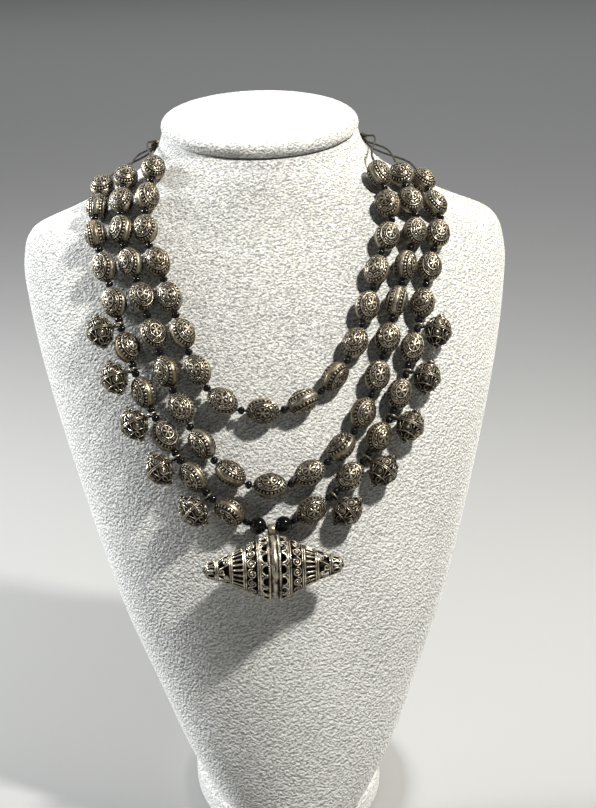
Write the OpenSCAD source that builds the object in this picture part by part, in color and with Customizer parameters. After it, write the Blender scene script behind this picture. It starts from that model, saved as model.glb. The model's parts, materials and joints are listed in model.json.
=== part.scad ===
// Three-strand bead necklace with a bicone pendant, laid on a neck bust.
// Front of the bust faces -Y, up is +Z, all sizes in millimetres.

/* [Olive beads] */
// Length of an olive bead along its thread
bead_length = 17.2; // [17:0.1:17.4]
// Largest diameter of an olive bead
bead_width = 12.6; // [12:0.1:12.8]
// Diameter of the drilled hole
bead_hole = 1.9; // [1.7:0.1:2.2]
// Distance between the middles of two beads next to each other
bead_pitch = 21.4; // [21.3:0.1:21.6]
// The same distance where a drop hangs between them
drop_pitch = 26; // [25.8:0.1:26.4]

/* [Black beads] */
// Diameter of the spacer between two olive beads
spacer_width = 4; // [3.6:0.1:4.1]
// Length of that spacer
spacer_length = 3; // [2.8:0.1:3.1]
// Diameter of the two big beads beside the bail
big_bead_width = 8.8; // [8:0.1:9]

/* [Drops] */
// Diameter of a drop over its twisted band
drop_width = 15; // [14:0.5:15.5]
// Length of a drop between its two finials
drop_length = 19; // [18:0.5:19.5]
// Middle-line radius of the ring that a drop hangs on
ring_radius = 2.4; // [2.3:0.1:2.6]
// Thickness of the ring's wire
ring_wire = 1.2; // [1:0.1:1.3]

/* [Pendant] */
// Length of the pendant from tip to tip
pendant_length = 69; // [66:1:71]
// Diameter over the pendant's middle band
pendant_width = 32.4; // [31:0.2:32.6]
// Thickness of the pierced sheet
sheet = 1.2; // [1:0.1:1.4]
// From the thread down to the pendant's own axis
pendant_drop = 22.6; // [22.2:0.1:23]
// Width of the bail along the thread
bail_width = 3.6; // [3.6:0.1:4.4]

/* [Threads and cord] */
// Diameter of the bead thread
thread_width = 1.2; // [1:0.1:1.2]
// Diameter of the cord behind the neck
cord_width = 3.2; // [3:0.1:3.4]

/* [Bust] */
// Thickness of the disc on top of the neck
cap_thickness = 8; // [6:0.5:9]
// Half width of that disc
cap_half_width = 54.5; // [54:0.5:55]
// Slope of the disc towards the front, in degrees
cap_slope = 12; // [10:1:12]
// Thickness of the oval base plate
foot_thickness = 11.8; // [10:0.2:11.8]

/* [Hidden] */
$fn = 48;
clear = 0.3;

silver = "#9a938a";
black = "#15130f";
velvet = "#c9c8c0";
thread_colour = "#2a2622";

// Level sections of the bust. Columns: height, half width, y of the widest line,
// depth in front of that line, depth behind it, forward slope in degrees.
bust_rows = [
    [12, 31, -70, 24, 16, 0],
    [20, 38, -66, 27, 18, 0],
    [32, 46, -60, 32, 20, 0],
    [48, 55, -53, 37, 23, 0],
    [72, 66, -42, 44, 26, 0],
    [112, 84, -25, 52, 32, 0],
    [152, 98, -7, 58, 36, 0],
    [192, 111, 13, 62, 38, 0],
    [232, 123, 37, 66, 38, 0],
    [262, 130, 57, 68, 40, 0],
    [282, 132, 70, 67, 42, 0],
    [297, 126, 80, 65.5, 42, 0],
    [307, 103, 82, 61, 42, 0],
    [317, 81, 82, 55.5, 43, 0],
    [327, 65, 83, 51.5, 45, 2],
    [336, 57, 85, 49, 46, 7],
    [344, 54, 86, 47, 46.5, cap_slope]
];
rings_per_row = 2;
bust_sides = 48;

// Place in a table of rows sorted by their first column
function row_at(rows, x, i = 0) = (i >= len(rows) - 2 || x < rows[i + 1][0]) ? i : row_at(rows, x, i + 1);
function slope_at(rows, c, i) =
    let (a = max(i - 1, 0), b = min(i + 1, len(rows) - 1))
    (rows[b][c] - rows[a][c]) / (rows[b][0] - rows[a][0]);
// Smooth value of column c at x, a cubic that passes through every row
function smooth(rows, c, x) =
    let (
        i = row_at(rows, x),
        span = rows[i + 1][0] - rows[i][0],
        t = (x - rows[i][0]) / span,
        rise = slope_at(rows, c, i) * span,
        next_rise = slope_at(rows, c, i + 1) * span
    )
    (2 * pow(t, 3) - 3 * t * t + 1) * rows[i][c] + (pow(t, 3) - 2 * t * t + t) * rise
        + (3 * t * t - 2 * pow(t, 3)) * rows[i + 1][c] + (pow(t, 3) - t * t) * next_rise;

// A point of the bust: turn is 0 at the front middle, 90 at the right side, 180 at the back
function bust_point(turn, height) =
    let (
        middle = smooth(bust_rows, 2, height),
        depth = smooth(bust_rows, cos(turn) > 0 ? 3 : 4, height),
        out = depth * cos(turn)
    )
    [
        smooth(bust_rows, 1, height) * sin(turn),
        middle - out,
        height - out * tan(smooth(bust_rows, 5, height))
    ];
function unit(v) = v / norm(v);
// Outward direction of the bust's skin there
function bust_out(turn, height) =
    unit(cross(
        bust_point(turn + 0.5, height) - bust_point(turn - 0.5, height),
        bust_point(turn, height + 0.5) - bust_point(turn, height - 0.5)
    ));

// Routes of the strands over the bust, left to right in the picture.
// Columns: turn in degrees, height on the skin, lift of the thread above the skin.
inner_route = [
    [-118, 334, 5], [-104, 335, 5], [-86, 336, 6.8], [-64, 330, 6.8], [-45.4, 315.5, 6.8], [-32, 301, 6.8],
    [-26, 285, 6.8], [-22.5, 262, 6.8], [-19, 237, 6.8], [-13.5, 221, 6.8], [-4, 216, 6.8], [5, 219, 6.8],
    [13, 229, 6.8], [18.5, 245, 6.8], [22, 264, 6.8], [26.5, 288, 6.8], [35.2, 304.6, 6.8], [49.8, 319.3, 6.8],
    [66, 331, 6.8], [88, 335, 6.8], [104, 334, 5], [118, 333, 5]
];
inner_middle = 10;
middle_route = [
    [-118, 331, 5], [-106, 330, 5], [-90, 327, 6.6], [-72, 321, 6.8], [-51.6, 310.6, 6.8], [-38, 299, 6.8],
    [-32, 281, 6.8], [-29, 257, 6.8], [-26, 231, 6.8], [-21.5, 206, 6.8], [-13, 187, 6.8], [-3.5, 181.5, 6.8],
    [6.5, 186, 6.8], [16, 199, 6.8], [22, 217, 6.8], [26, 241, 6.8], [29.5, 266, 6.8], [34, 288, 6.8],
    [41.2, 302, 6.8], [56, 314, 6.8], [73, 322, 6.8], [90, 326, 6.6], [106, 329, 5], [118, 330, 5]
];
middle_middle = 11;
outer_route = [
    [-118, 328, 5], [-108, 325, 5], [-94, 320, 6.4], [-78, 315, 6.8], [-60, 308, 6.8], [-45, 297, 6.8],
    [-39.5, 280, 6.8], [-37, 258, 6.8], [-35, 236, 6.8], [-31.5, 214, 6.8], [-26.5, 194, 6.8], [-19, 176, 6.8],
    [-10, 164.5, 6.4], [-4, 162, 6], [2, 164.5, 6.4], [13, 176, 6.8], [22, 192, 6.8], [29, 212, 6.8],
    [33, 236, 6.8], [36, 260, 6.8], [39.2, 281, 6.8], [46.3, 298, 6.8], [60, 309, 6.8], [78, 316, 6.8],
    [94, 319, 6.4], [108, 323, 5], [118, 327, 5]
];
outer_middle = 13;

// Smooth point of a route at u, where whole numbers are its rows
function route_value(route, c, u) =
    let (
        i = max(0, min(len(route) - 2, floor(u))),
        t = u - i,
        before = route[max(i - 1, 0)][c],
        a = route[i][c],
        b = route[i + 1][c],
        after = route[min(i + 2, len(route) - 1)][c]
    )
    a + t * ((b - before) / 2 + t * ((2 * before - 5 * a + 4 * b - after) / 2 + t * (3 * (a - b) + after - before) / 2));
function route_point(route, u) =
    let (turn = route_value(route, 0, u), height = route_value(route, 1, u))
    bust_point(turn, height) + route_value(route, 2, u) * bust_out(turn, height);

// Length along a route against u, from its middle row outwards; side is -1 left or 1 right.
// One row before the middle lets a bead lie across it.
route_steps = 12;
function half_route(route, middle, side) =
    let (
        rows = side > 0 ? len(route) - 1 - middle : middle,
        count = rows * route_steps,
        points = [for (i = [0 : count]) route_point(route, middle + side * i / route_steps)],
        runs = [
            for (i = 0, run = 0; i <= count; i = i + 1, run = i > count ? run : run + norm(points[i] - points[i - 1]))
                run
        ]
    )
    concat(
        [[-bead_length, middle - side * bead_length / runs[route_steps]]],
        [for (i = [0 : count]) [runs[i], middle + side * i / route_steps]]
    );
function point_along(route, half, s) = route_point(route, lookup(s, half));

// One bead or other piece on a thread: [middle, direction, outward direction, length, place along]
function station(route, half, s, long) =
    let (
        a = point_along(route, half, s - long / 2),
        b = point_along(route, half, s + long / 2),
        u = lookup(s, half)
    )
    [
        point_along(route, half, s),
        unit(b - a),
        bust_out(route_value(route, 0, u), route_value(route, 1, u)),
        long,
        s
    ];
function near_end(piece) = piece[0] - piece[1] * piece[3] / 2;
function far_end(piece) = piece[0] + piece[1] * piece[3] / 2;
// A piece of a given length on the straight thread between two others, at a share of the gap
function between(a, b, share, long) =
    let (from = far_end(a), to = near_end(b))
    [from + (to - from) * share, unit(to - from), a[2], long];

// Olive beads of half a strand, counted outwards; the first lies at start
function bead_stations(route, half, places) = [for (s = places) station(route, half, s, bead_length)];

inner_count = 8;
middle_count = 10;
function plain_places(count) = [for (i = [0 : count]) i * bead_pitch];

// The outer strand: bail, big bead, small bead, then olive beads with a drop in the first gaps
drop_count = 5;
outer_count = 10;
small_length = 2.4;
small_width = 3.4;
bead_gap = 0.35;
// What the bend beside the bail adds to the way to the first olive bead
bend_room = 0.3;
outer_start = bail_width / 2 + big_bead_width + small_length + 3 * bead_gap + bead_length / 2 + bend_room;
function outer_places() = [
    for (i = [0 : outer_count - 1])
        outer_start + min(i, drop_count) * drop_pitch + max(i - drop_count, 0) * bead_pitch
];
// A whole strand from left to right, out of its two halves that share the middle bead
function joined(left, right) = concat(
    [for (i = [len(left) - 1 : -1 : 1]) [left[i][0], -left[i][1], left[i][2], left[i][3], left[i][4]]],
    right
);

inner_left = half_route(inner_route, inner_middle, -1);
inner_right = half_route(inner_route, inner_middle, 1);
inner_pieces_l = bead_stations(inner_route, inner_left, plain_places(inner_count));
inner_pieces_r = bead_stations(inner_route, inner_right, plain_places(inner_count));
inner_line = joined(inner_pieces_l, inner_pieces_r);
middle_left = half_route(middle_route, middle_middle, -1);
middle_right = half_route(middle_route, middle_middle, 1);
middle_pieces_l = bead_stations(middle_route, middle_left, plain_places(middle_count));
middle_pieces_r = bead_stations(middle_route, middle_right, plain_places(middle_count));
middle_line = joined(middle_pieces_l, middle_pieces_r);
outer_left = half_route(outer_route, outer_middle, -1);
outer_right = half_route(outer_route, outer_middle, 1);
outer_beads_l = bead_stations(outer_route, outer_left, outer_places());
outer_beads_r = bead_stations(outer_route, outer_right, outer_places());

// The thread is level where it passes through the bail
bail_point = route_point(outer_route, outer_middle);
bail_out = bust_out(outer_route[outer_middle][0], outer_route[outer_middle][1]);
bail_station_l = [bail_point, [-1, 0, 0], bail_out, bail_width + bead_gap];
bail_station_r = [bail_point, [1, 0, 0], bail_out, bail_width + bead_gap];
function big_bead(bail, first) =
    let (reach = unit(near_end(first) - far_end(bail)))
    [far_end(bail) + reach * (big_bead_width / 2 + bead_gap), reach, bail[2], big_bead_width];
big_bead_l = big_bead(bail_station_l, outer_beads_l[0]);
big_bead_r = big_bead(bail_station_r, outer_beads_r[0]);

// Where a drop's ring sits in the gap between two beads, and the black beads on either side of it
ring_share = 0.53;
black_before_share = 0.23;
black_after_share = 0.81;
black_before_length = 3.3;
black_before_width = spacer_width + 0.3;
black_after_length = 2.7;
function drop_station(beads, i) = between(beads[i], beads[i + 1], ring_share, ring_wire);

// The drops hang outwards from the thread, square to it and along the skin
ring_slack = 1;
// How far soldered metal is sunk into its neighbour
solder_depth = 0.25;
drop_reach = ring_slack + ring_radius + ring_wire / 2 + drop_width / 2 - solder_depth;
// Small lift of each drop off the skin, in degrees
drop_tip = 4;
function drop_outward(piece, side) =
    let (across = unit(side * cross(piece[1], piece[2])))
    unit(across * cos(drop_tip) + piece[2] * sin(drop_tip));

// How far the pendant leans out from straight down, in degrees
pendant_lean = 48;
pendant_down = [0, -sin(pendant_lean), -cos(pendant_lean)];

// Places the shapes drawn along +X with +Z outwards onto a station
module at_station(piece) {
    x = piece[1];
    y = unit(cross(piece[2], x));
    z = cross(x, y);
    p = piece[0] + [0, y_shift, 0];
    multmatrix([
        [x[0], y[0], z[0], p[0]],
        [x[1], y[1], z[1], p[1]],
        [x[2], y[2], z[2], p[2]],
        [0, 0, 0, 1]
    ])
        children();
}

// Turned body along X from an outline of [along, radius] points
module turned(outline) {
    rotate([0, 90, 0])
        rotate_extrude()
            polygon([for (p = outline) [p[1], p[0]]]);
}

// Drilled bead: a barrel of true arcs between two flat ends
module bead(long, width, end_width, hole) {
    sag = (width - end_width) / 2;
    arc_radius = (pow(long / 2, 2) + sag * sag) / (2 * sag);
    rotate([0, 90, 0])
        rotate_extrude()
            intersection() {
                translate([width / 2 - arc_radius, 0])
                    circle(r = arc_radius, $fn = 160);
                translate([hole / 2, -long / 2])
                    square([width, long]);
            }
}
// Olive bead: an oval of one large arc and two small end arcs that meet without a corner
bead_end_radius = 4.7;
module olive_bead() {
    end_middle = bead_length / 2 - bead_end_radius;
    spare = bead_width / 2 - bead_end_radius;
    below = (pow(end_middle, 2) - spare * spare) / (2 * spare);
    large = bead_width / 2 + below;
    meet = end_middle * large / (large - bead_end_radius);
    rotate([0, 90, 0])
        rotate_extrude()
            intersection() {
                union() {
                    intersection() {
                        translate([-below, 0])
                            circle(r = large, $fn = 160);
                        translate([-bead_width, -meet])
                            square([2 * bead_width, 2 * meet]);
                    }
                    for (side = [-1, 1])
                        intersection() {
                            translate([0, side * end_middle])
                                circle(r = bead_end_radius, $fn = 96);
                            translate([-bead_width, side > 0 ? meet : -meet - bead_length])
                                square([2 * bead_width, bead_length]);
                        }
                }
                translate([bead_hole / 2, -bead_length])
                    square([bead_width, 2 * bead_length]);
            }
}
spacer_hole = thread_width + 0.4;
spacer_end_share = 0.6;
module black_bead(long, width) {
    bead(long, width, width * spacer_end_share, spacer_hole);
}

module olive_string(line) {
    color(silver)
        for (piece = line)
            at_station(piece)
                olive_bead();
}
module spacer_string(line) {
    color(black)
        for (i = [0 : len(line) - 2])
            at_station(between(line[i], line[i + 1], 0.5, spacer_length))
                black_bead(spacer_length, spacer_width);
}

// Round tube through a list of points, one ring of corners at each point
tube_sides = 8;
module tube(points, outs, width) {
    last = len(points) - 1;
    rings = [
        for (i = [0 : last])
            let (
                ahead = i < last ? unit(points[i + 1] - points[i]) : unit(points[i] - points[i - 1]),
                behind = i > 0 ? unit(points[i] - points[i - 1]) : ahead,
                along = unit(ahead + behind),
                side = unit(cross(outs[i], along)),
                up = cross(along, side)
            )
            for (k = [0 : tube_sides - 1])
                points[i] + [0, y_shift, 0]
                    + width / 2 * (cos(k * 360 / tube_sides) * side + sin(k * 360 / tube_sides) * up)
    ];
    walls = [
        for (i = [0 : last - 1])
            for (k = [0 : tube_sides - 1])
                let (a = i * tube_sides + k, b = i * tube_sides + (k + 1) % tube_sides)
                each [[a, b, b + tube_sides], [a, b + tube_sides, a + tube_sides]]
    ];
    lids = [
        [for (k = [tube_sides - 1 : -1 : 0]) k],
        [for (k = [0 : tube_sides - 1]) last * tube_sides + k]
    ];
    polyhedron(points = rings, faces = concat(walls, lids));
}

// Path of a thread through pieces, as pairs of a point and the outward direction there
function through(pieces) = [
    for (piece = pieces)
        each [[near_end(piece), piece[2]], [far_end(piece), piece[2]]]
];
// The rest of a route beyond its last bead
thread_step = 6;
function beyond(route, half, piece, short) =
    let (
        begin = piece[4] + bead_length / 2,
        end = half[len(half) - 1][0] - short,
        count = ceil((end - begin) / thread_step)
    )
    [
        for (i = [1 : count])
            let (s = begin + (end - begin) * i / count, u = lookup(s, half))
            [route_point(route, u), bust_out(route_value(route, 0, u), route_value(route, 1, u))]
    ];
function backwards(list) = [for (i = [len(list) - 1 : -1 : 0]) list[i]];

// Route of the cord behind the neck, from a cord end to the clasp, for the right side.
// Columns as for the strands.
neck_route = [[116, 331, 5.2], [132, 330.5, 5], [150, 330, 3.6], [166, 330, 4.2], [180, 330, 4.6]];
neck_half = half_route(neck_route, 0, 1);
function mirrored(v) = [-v[0], v[1], v[2]];
function other_side(piece) = [mirrored(piece[0]), mirrored(piece[1]), mirrored(piece[2]), piece[3], piece[4]];

// Gathering end for the three threads, on the right side
cord_end_length = 11;
cord_end_width = 7.4;
cup_width = 5.6;
cup_depth = 2.6;
cord_hole = cord_width + 0.4;
cord_hole_depth = 3;
cord_hole_rim = 1;
cord_end_station = station(neck_route, neck_half, cord_end_length / 2 + 1, cord_end_length);
thread_spread = 1.7;
// Where one of the threads runs into the cup; rank is 1 for the top one
function cup_path(piece, rank) =
    let (up = unit([0, 0, 1] - piece[1] * piece[1][2]) * thread_spread * rank)
    [
        for (along = [-2, cup_depth - clear])
            [near_end(piece) + piece[1] * along + up, piece[2]]
    ];
cup_room = 5;
module whole_thread(route, left_half, right_half, left_pieces, right_pieces, rank) {
    left = concat(
        through(left_pieces),
        beyond(route, left_half, left_pieces[len(left_pieces) - 1], cup_room),
        cup_path(other_side(cord_end_station), rank)
    );
    right = concat(
        through(right_pieces),
        beyond(route, right_half, right_pieces[len(right_pieces) - 1], cup_room),
        cup_path(cord_end_station, rank)
    );
    path = concat(backwards(left), right);
    color(thread_colour)
        tube([for (p = path) p[0]], [for (p = path) p[1]], thread_width);
}

// Clasp: a plain barrel at the back middle, with a blind hole for the cord at each end
clasp_length = 16;
clasp_width = 7;
clasp_hole_depth = 4;
clasp_station = [route_point(neck_route, len(neck_route) - 1), [1, 0, 0], [0, 1, 0], clasp_length];
// Shift that puts the middle of the whole box over the origin
cap_middle = [0, 86, 344];
cap_half_depth = 47.5;
pendant_front = bail_point[1] + pendant_drop * pendant_down[1] - pendant_width / 2;
clasp_back = clasp_station[0][1] + clasp_width / 2;
y_shift = -(clasp_back + pendant_front) / 2;
cord_step = 7;
cord_path = concat(
    [for (along = [clear - cord_hole_depth, 2]) far_end(cord_end_station) + cord_end_station[1] * along],
    let (
        begin = cord_end_length + 8,
        end = neck_half[len(neck_half) - 1][0] - clasp_length / 2 - 6,
        count = ceil((end - begin) / cord_step)
    )
    [for (i = [0 : count]) point_along(neck_route, neck_half, begin + (end - begin) * i / count)],
    [for (along = [2, clear - clasp_hole_depth]) far_end(clasp_station) + [along, 0, 0]]
);
module neck_cord(side) {
    path = [for (p = cord_path) side > 0 ? p : mirrored(p)];
    color(velvet)
        tube(path, [for (p = path) [0, 0, 1]], cord_width);
}
module cord_end(piece) {
    color(silver)
        at_station(piece)
            difference() {
                turned([
                    [-cord_end_length / 2, 0], [-cord_end_length / 2, cord_end_width / 2],
                    [0, cord_end_width / 2], [cord_end_length / 2, cord_width / 2 + cord_hole_rim],
                    [cord_end_length / 2, 0]
                ]);
                turned([
                    [-cord_end_length, 0], [-cord_end_length, cup_width / 2],
                    [cup_depth - cord_end_length / 2, cup_width / 2], [cup_depth - cord_end_length / 2, 0]
                ]);
                turned([
                    [cord_end_length / 2 - cord_hole_depth, 0],
                    [cord_end_length / 2 - cord_hole_depth, cord_hole / 2],
                    [cord_end_length, cord_hole / 2], [cord_end_length, 0]
                ]);
            }
}
module clasp() {
    bevel = 1;
    color(silver)
        at_station(clasp_station)
            difference() {
                turned([
                    [-clasp_length / 2, 0], [-clasp_length / 2, clasp_width / 2 - bevel],
                    [bevel - clasp_length / 2, clasp_width / 2], [clasp_length / 2 - bevel, clasp_width / 2],
                    [clasp_length / 2, clasp_width / 2 - bevel], [clasp_length / 2, 0]
                ]);
                for (side = [-1, 1])
                    translate([side * clasp_length / 2, 0, 0])
                        rotate([0, 90, 0])
                            cylinder(d = cord_hole, h = 2 * clasp_hole_depth, center = true);
            }
}

// Bust
module bust_form() {
    levels = [
        for (i = [0 : len(bust_rows) - 2])
            for (j = [0 : rings_per_row - 1])
                bust_rows[i][0] + (bust_rows[i + 1][0] - bust_rows[i][0]) * j / rings_per_row,
        bust_rows[len(bust_rows) - 1][0]
    ];
    last = len(levels) - 1;
    points = [
        for (height = levels)
            for (k = [0 : bust_sides - 1])
                bust_point(k * 360 / bust_sides, height) + [0, y_shift, 0]
    ];
    walls = [
        for (i = [0 : last - 1])
            for (k = [0 : bust_sides - 1])
                let (a = i * bust_sides + k, b = i * bust_sides + (k + 1) % bust_sides)
                each [[a, a + bust_sides, b + bust_sides], [a, b + bust_sides, b]]
    ];
    lids = [
        [for (k = [0 : bust_sides - 1]) k],
        [for (k = [bust_sides - 1 : -1 : 0]) last * bust_sides + k]
    ];
    color(velvet)
        polyhedron(points = points, faces = concat(walls, lids));
}
module bust_cap() {
    color(velvet)
        translate(cap_middle + [0, y_shift, 0])
            rotate([cap_slope, 0, 0])
                translate([0, 0, clear + cap_thickness / 2])
                    scale([1, cap_half_depth / cap_half_width, 1])
                        rotate_extrude($fn = 96) {
                            translate([0, -cap_thickness / 2])
                                square([cap_half_width - cap_thickness / 2, cap_thickness]);
                            intersection() {
                                translate([cap_half_width - cap_thickness / 2, 0])
                                    circle(d = cap_thickness);
                                translate([0, -cap_thickness])
                                    square([cap_half_width, 2 * cap_thickness]);
                            }
                        }
}
// Oval base plate
foot_half_width = 50;
foot_half_length = 92;
foot_middle = 0;
module bust_foot() {
    color(velvet)
        translate([0, foot_middle + y_shift, 0])
            intersection() {
                scale([1, foot_half_length / foot_half_width, 1])
                    cylinder(r = foot_half_width, h = 4 * foot_thickness, center = true, $fn = 96);
                translate([-foot_half_length, -2 * foot_half_length, 0])
                    cube([2 * foot_half_length, 4 * foot_half_length, foot_thickness]);
            }
}

// Strands
module inner_beads() { olive_string(inner_line); }
module inner_spacers() { spacer_string(inner_line); }
module inner_thread() {
    whole_thread(
        inner_route, inner_left, inner_right,
        [for (i = [1 : inner_count]) inner_pieces_l[i]], inner_pieces_r, 1
    );
}
module middle_beads() { olive_string(middle_line); }
module middle_spacers_left() { spacer_string(middle_pieces_l); }
module middle_spacers_right() { spacer_string(middle_pieces_r); }
module middle_thread() {
    whole_thread(
        middle_route, middle_left, middle_right,
        [for (i = [1 : middle_count]) middle_pieces_l[i]], middle_pieces_r, 0
    );
}
module outer_beads_left() { olive_string(outer_beads_l); }
module outer_beads_right() { olive_string(outer_beads_r); }
module outer_thread() {
    whole_thread(
        outer_route, outer_left, outer_right,
        concat([big_bead_l], outer_beads_l), concat([bail_station_r, big_bead_r], outer_beads_r), -1
    );
}
module outer_spacers(beads) { spacer_string([for (i = [drop_count : outer_count - 1]) beads[i]]); }
// The small bead beside the big one, and the pair beside each drop's ring
module lower_spacers(big, beads) {
    color(black) {
        at_station(between(big, beads[0], 0.5, small_length))
            black_bead(small_length, small_width);
        for (i = [0 : drop_count - 1]) {
            at_station(between(beads[i], beads[i + 1], black_before_share, black_before_length))
                black_bead(black_before_length, black_before_width);
            at_station(between(beads[i], beads[i + 1], black_after_share, black_after_length))
                black_bead(black_after_length, spacer_width);
        }
    }
}
module pendant_beads() {
    color(black)
        for (piece = [big_bead_l, big_bead_r])
            at_station(piece)
                difference() {
                    sphere(d = big_bead_width);
                    rotate([0, 90, 0])
                        cylinder(d = spacer_hole, h = 2 * big_bead_width, center = true);
                }
}

// Hollow turned shell with its windows cut out, from a half outline of [along, radius] points
module shell(half_outline, wall) {
    outer = concat([for (p = backwards(half_outline)) [-p[0], p[1]]], half_outline);
    inside = [for (p = half_outline) if (p[1] > 2 * wall) [max(0, p[0] - wall / 3), p[1] - wall]];
    inner = concat([for (p = backwards(inside)) [-p[0], p[1]]], inside);
    tip = half_outline[len(half_outline) - 1][0];
    cavity_tip = inside[len(inside) - 1][0];
    difference() {
        turned(concat([[-tip, 0]], outer, [[tip, 0]]));
        turned(concat([[-cavity_tip, 0]], inner, [[cavity_tip, 0]]));
        children();
    }
}

// Drop, half outline in millimetres: band, belly, second band, neck of the finial
drop_outline = [
    [1.1, drop_width / 2], [1.3, 6.9], [3, 6.4], [4.7, 5.4], [4.8, 5.8], [5.9, 5.2],
    [6, 4.7], [7.3, 3.1], [8.3, 1.4]
];
drop_wall = 1;
drop_windows = 3;
drop_window_width = 2.8;
drop_window_along = 3;
finial_width = 2.8;
module drop_shape() {
    translate([0, 0, ring_slack])
        rotate([0, 90, 0])
            rotate_extrude()
                translate([ring_radius, 0])
                    circle(d = ring_wire);
    translate([0, 0, drop_reach]) {
        shell(drop_outline, drop_wall)
            for (side = [-1, 1])
                for (k = [0 : drop_windows - 1])
                    rotate([(k + 0.5) * 360 / drop_windows, 0, 0])
                        translate([side * drop_window_along, 0, drop_width / 5])
                            cylinder(d = drop_window_width, h = drop_width / 2);
        for (side = [-1, 1])
            translate([side * (drop_length - finial_width) / 2, 0, 0])
                sphere(d = finial_width);
    }
}
module drop(beads, i, side) {
    piece = drop_station(beads, i);
    color(silver)
        at_station([piece[0], piece[1], drop_outward(piece, side), piece[3]])
            drop_shape();
}

// Pendant, half outline as shares of its half length and half width
pendant_shape = [
    [0.085, 1], [0.09, 0.955], [0.2, 0.885], [0.205, 0.92], [0.225, 0.91], [0.23, 0.865],
    [0.41, 0.66], [0.415, 0.695], [0.435, 0.68], [0.44, 0.64], [0.605, 0.465], [0.61, 0.505],
    [0.63, 0.49], [0.635, 0.45], [0.815, 0.31], [0.82, 0.35], [0.84, 0.34], [0.845, 0.295], [0.94, 0.23], [1, 0.1]
];
pendant_outline = [for (p = pendant_shape) [p[0] * pendant_length / 2, p[1] * pendant_width / 2]];
scallops = 16;
scallop_width = 3.4;
scallop_along = 5;
bars = 14;
bar_window = [4.8, 2, 12];
bar_along = 18;
bail_outer = 3.3;
bail_inner = 2.2;
bail_play = 0.25;
bail_slack = bail_inner - thread_width / 2 - bail_play;
// Bar between the bail's loop and the band, sunk into both
stem_width = bail_width - 1;
stem_depth = 2.6;
stem_sink = 0.6;
stem_top = bail_slack + bail_outer;
stem_bottom = pendant_drop - pendant_width / 2;
module pendant() {
    color(silver)
        at_station([bail_point, [1, 0, 0], -pendant_down, bail_width])
            difference() {
                union() {
                    translate([0, 0, -pendant_drop])
                        shell(pendant_outline, sheet)
                            for (side = [-1, 1]) {
                                for (k = [0 : scallops - 1])
                                    rotate([(k + 0.5) * 360 / scallops, 0, 0])
                                        translate([side * scallop_along, 0, pendant_width / 4])
                                            cylinder(d = scallop_width, h = pendant_width / 2);
                                for (k = [0 : bars - 1])
                                    rotate([(k + 0.5) * 360 / bars, 0, 0])
                                        translate([side * bar_along, 0, pendant_width / 8 + bar_window[2] / 2])
                                            cube(bar_window, center = true);
                            }
                    translate([0, 0, -bail_slack])
                        rotate([0, 90, 0])
                            cylinder(r = bail_outer, h = bail_width, center = true);
                    translate([0, 0, -(stem_top + stem_bottom) / 2])
                        cube([stem_width, stem_depth, stem_bottom - stem_top + 2 * stem_sink], center = true);
                }
                translate([0, 0, -bail_slack])
                    rotate([0, 90, 0])
                        cylinder(r = bail_inner, h = 2 * bail_width, center = true);
            }
}

bust_form();
bust_cap();
bust_foot();
inner_beads();
inner_spacers();
inner_thread();
middle_beads();
middle_spacers_left();
middle_spacers_right();
middle_thread();
outer_beads_left();
outer_beads_right();
outer_spacers(outer_beads_l);  // outer_spacers_left
outer_spacers(outer_beads_r);  // outer_spacers_right
outer_thread();
lower_spacers(big_bead_l, outer_beads_l);  // lower_spacers_left
lower_spacers(big_bead_r, outer_beads_r);  // lower_spacers_right
drop(outer_beads_l, 0, -1);  // drop_left_1
drop(outer_beads_l, 1, -1);  // drop_left_2
drop(outer_beads_l, 2, -1);  // drop_left_3
drop(outer_beads_l, 3, -1);  // drop_left_4
drop(outer_beads_l, 4, -1);  // drop_left_5
drop(outer_beads_r, 0, 1);  // drop_right_1
drop(outer_beads_r, 1, 1);  // drop_right_2
drop(outer_beads_r, 2, 1);  // drop_right_3
drop(outer_beads_r, 3, 1);  // drop_right_4
drop(outer_beads_r, 4, 1);  // drop_right_5
pendant();
pendant_beads();
cord_end(other_side(cord_end_station));  // cord_end_left
cord_end(cord_end_station);  // cord_end_right
neck_cord(-1);  // neck_cord_left
neck_cord(1);  // neck_cord_right
clasp();
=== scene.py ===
import json
import bpy
import numpy as np
from mathutils import Matrix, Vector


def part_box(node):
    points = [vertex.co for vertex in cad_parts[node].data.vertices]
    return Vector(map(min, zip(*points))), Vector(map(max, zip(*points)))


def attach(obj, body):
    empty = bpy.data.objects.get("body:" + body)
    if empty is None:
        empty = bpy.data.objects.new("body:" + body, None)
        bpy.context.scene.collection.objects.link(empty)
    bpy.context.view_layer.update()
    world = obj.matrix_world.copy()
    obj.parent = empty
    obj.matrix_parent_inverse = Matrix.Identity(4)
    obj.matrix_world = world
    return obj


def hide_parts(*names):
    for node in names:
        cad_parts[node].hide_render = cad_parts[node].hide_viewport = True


bl_info = {
    "name": "Strand necklace on a neck bust",
    "version": (1, 0, 0),
    "blender": (4, 5, 0),
    "location": "3D View > Sidebar > Necklace",
    "description": "Dresses the packed necklace with relief, wirework, velvet and studio light",
    "category": "Add Mesh",
}

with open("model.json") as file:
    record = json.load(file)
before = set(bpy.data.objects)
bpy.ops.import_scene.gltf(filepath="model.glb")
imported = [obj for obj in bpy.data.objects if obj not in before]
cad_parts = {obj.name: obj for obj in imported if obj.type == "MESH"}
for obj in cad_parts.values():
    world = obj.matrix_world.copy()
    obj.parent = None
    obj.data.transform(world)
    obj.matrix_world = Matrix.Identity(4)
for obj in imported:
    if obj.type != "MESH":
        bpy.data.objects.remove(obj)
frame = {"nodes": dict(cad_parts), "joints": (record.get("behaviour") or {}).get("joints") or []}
NODES = frame["nodes"]
MM = 0.001
TURN = 2 * np.pi


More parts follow.
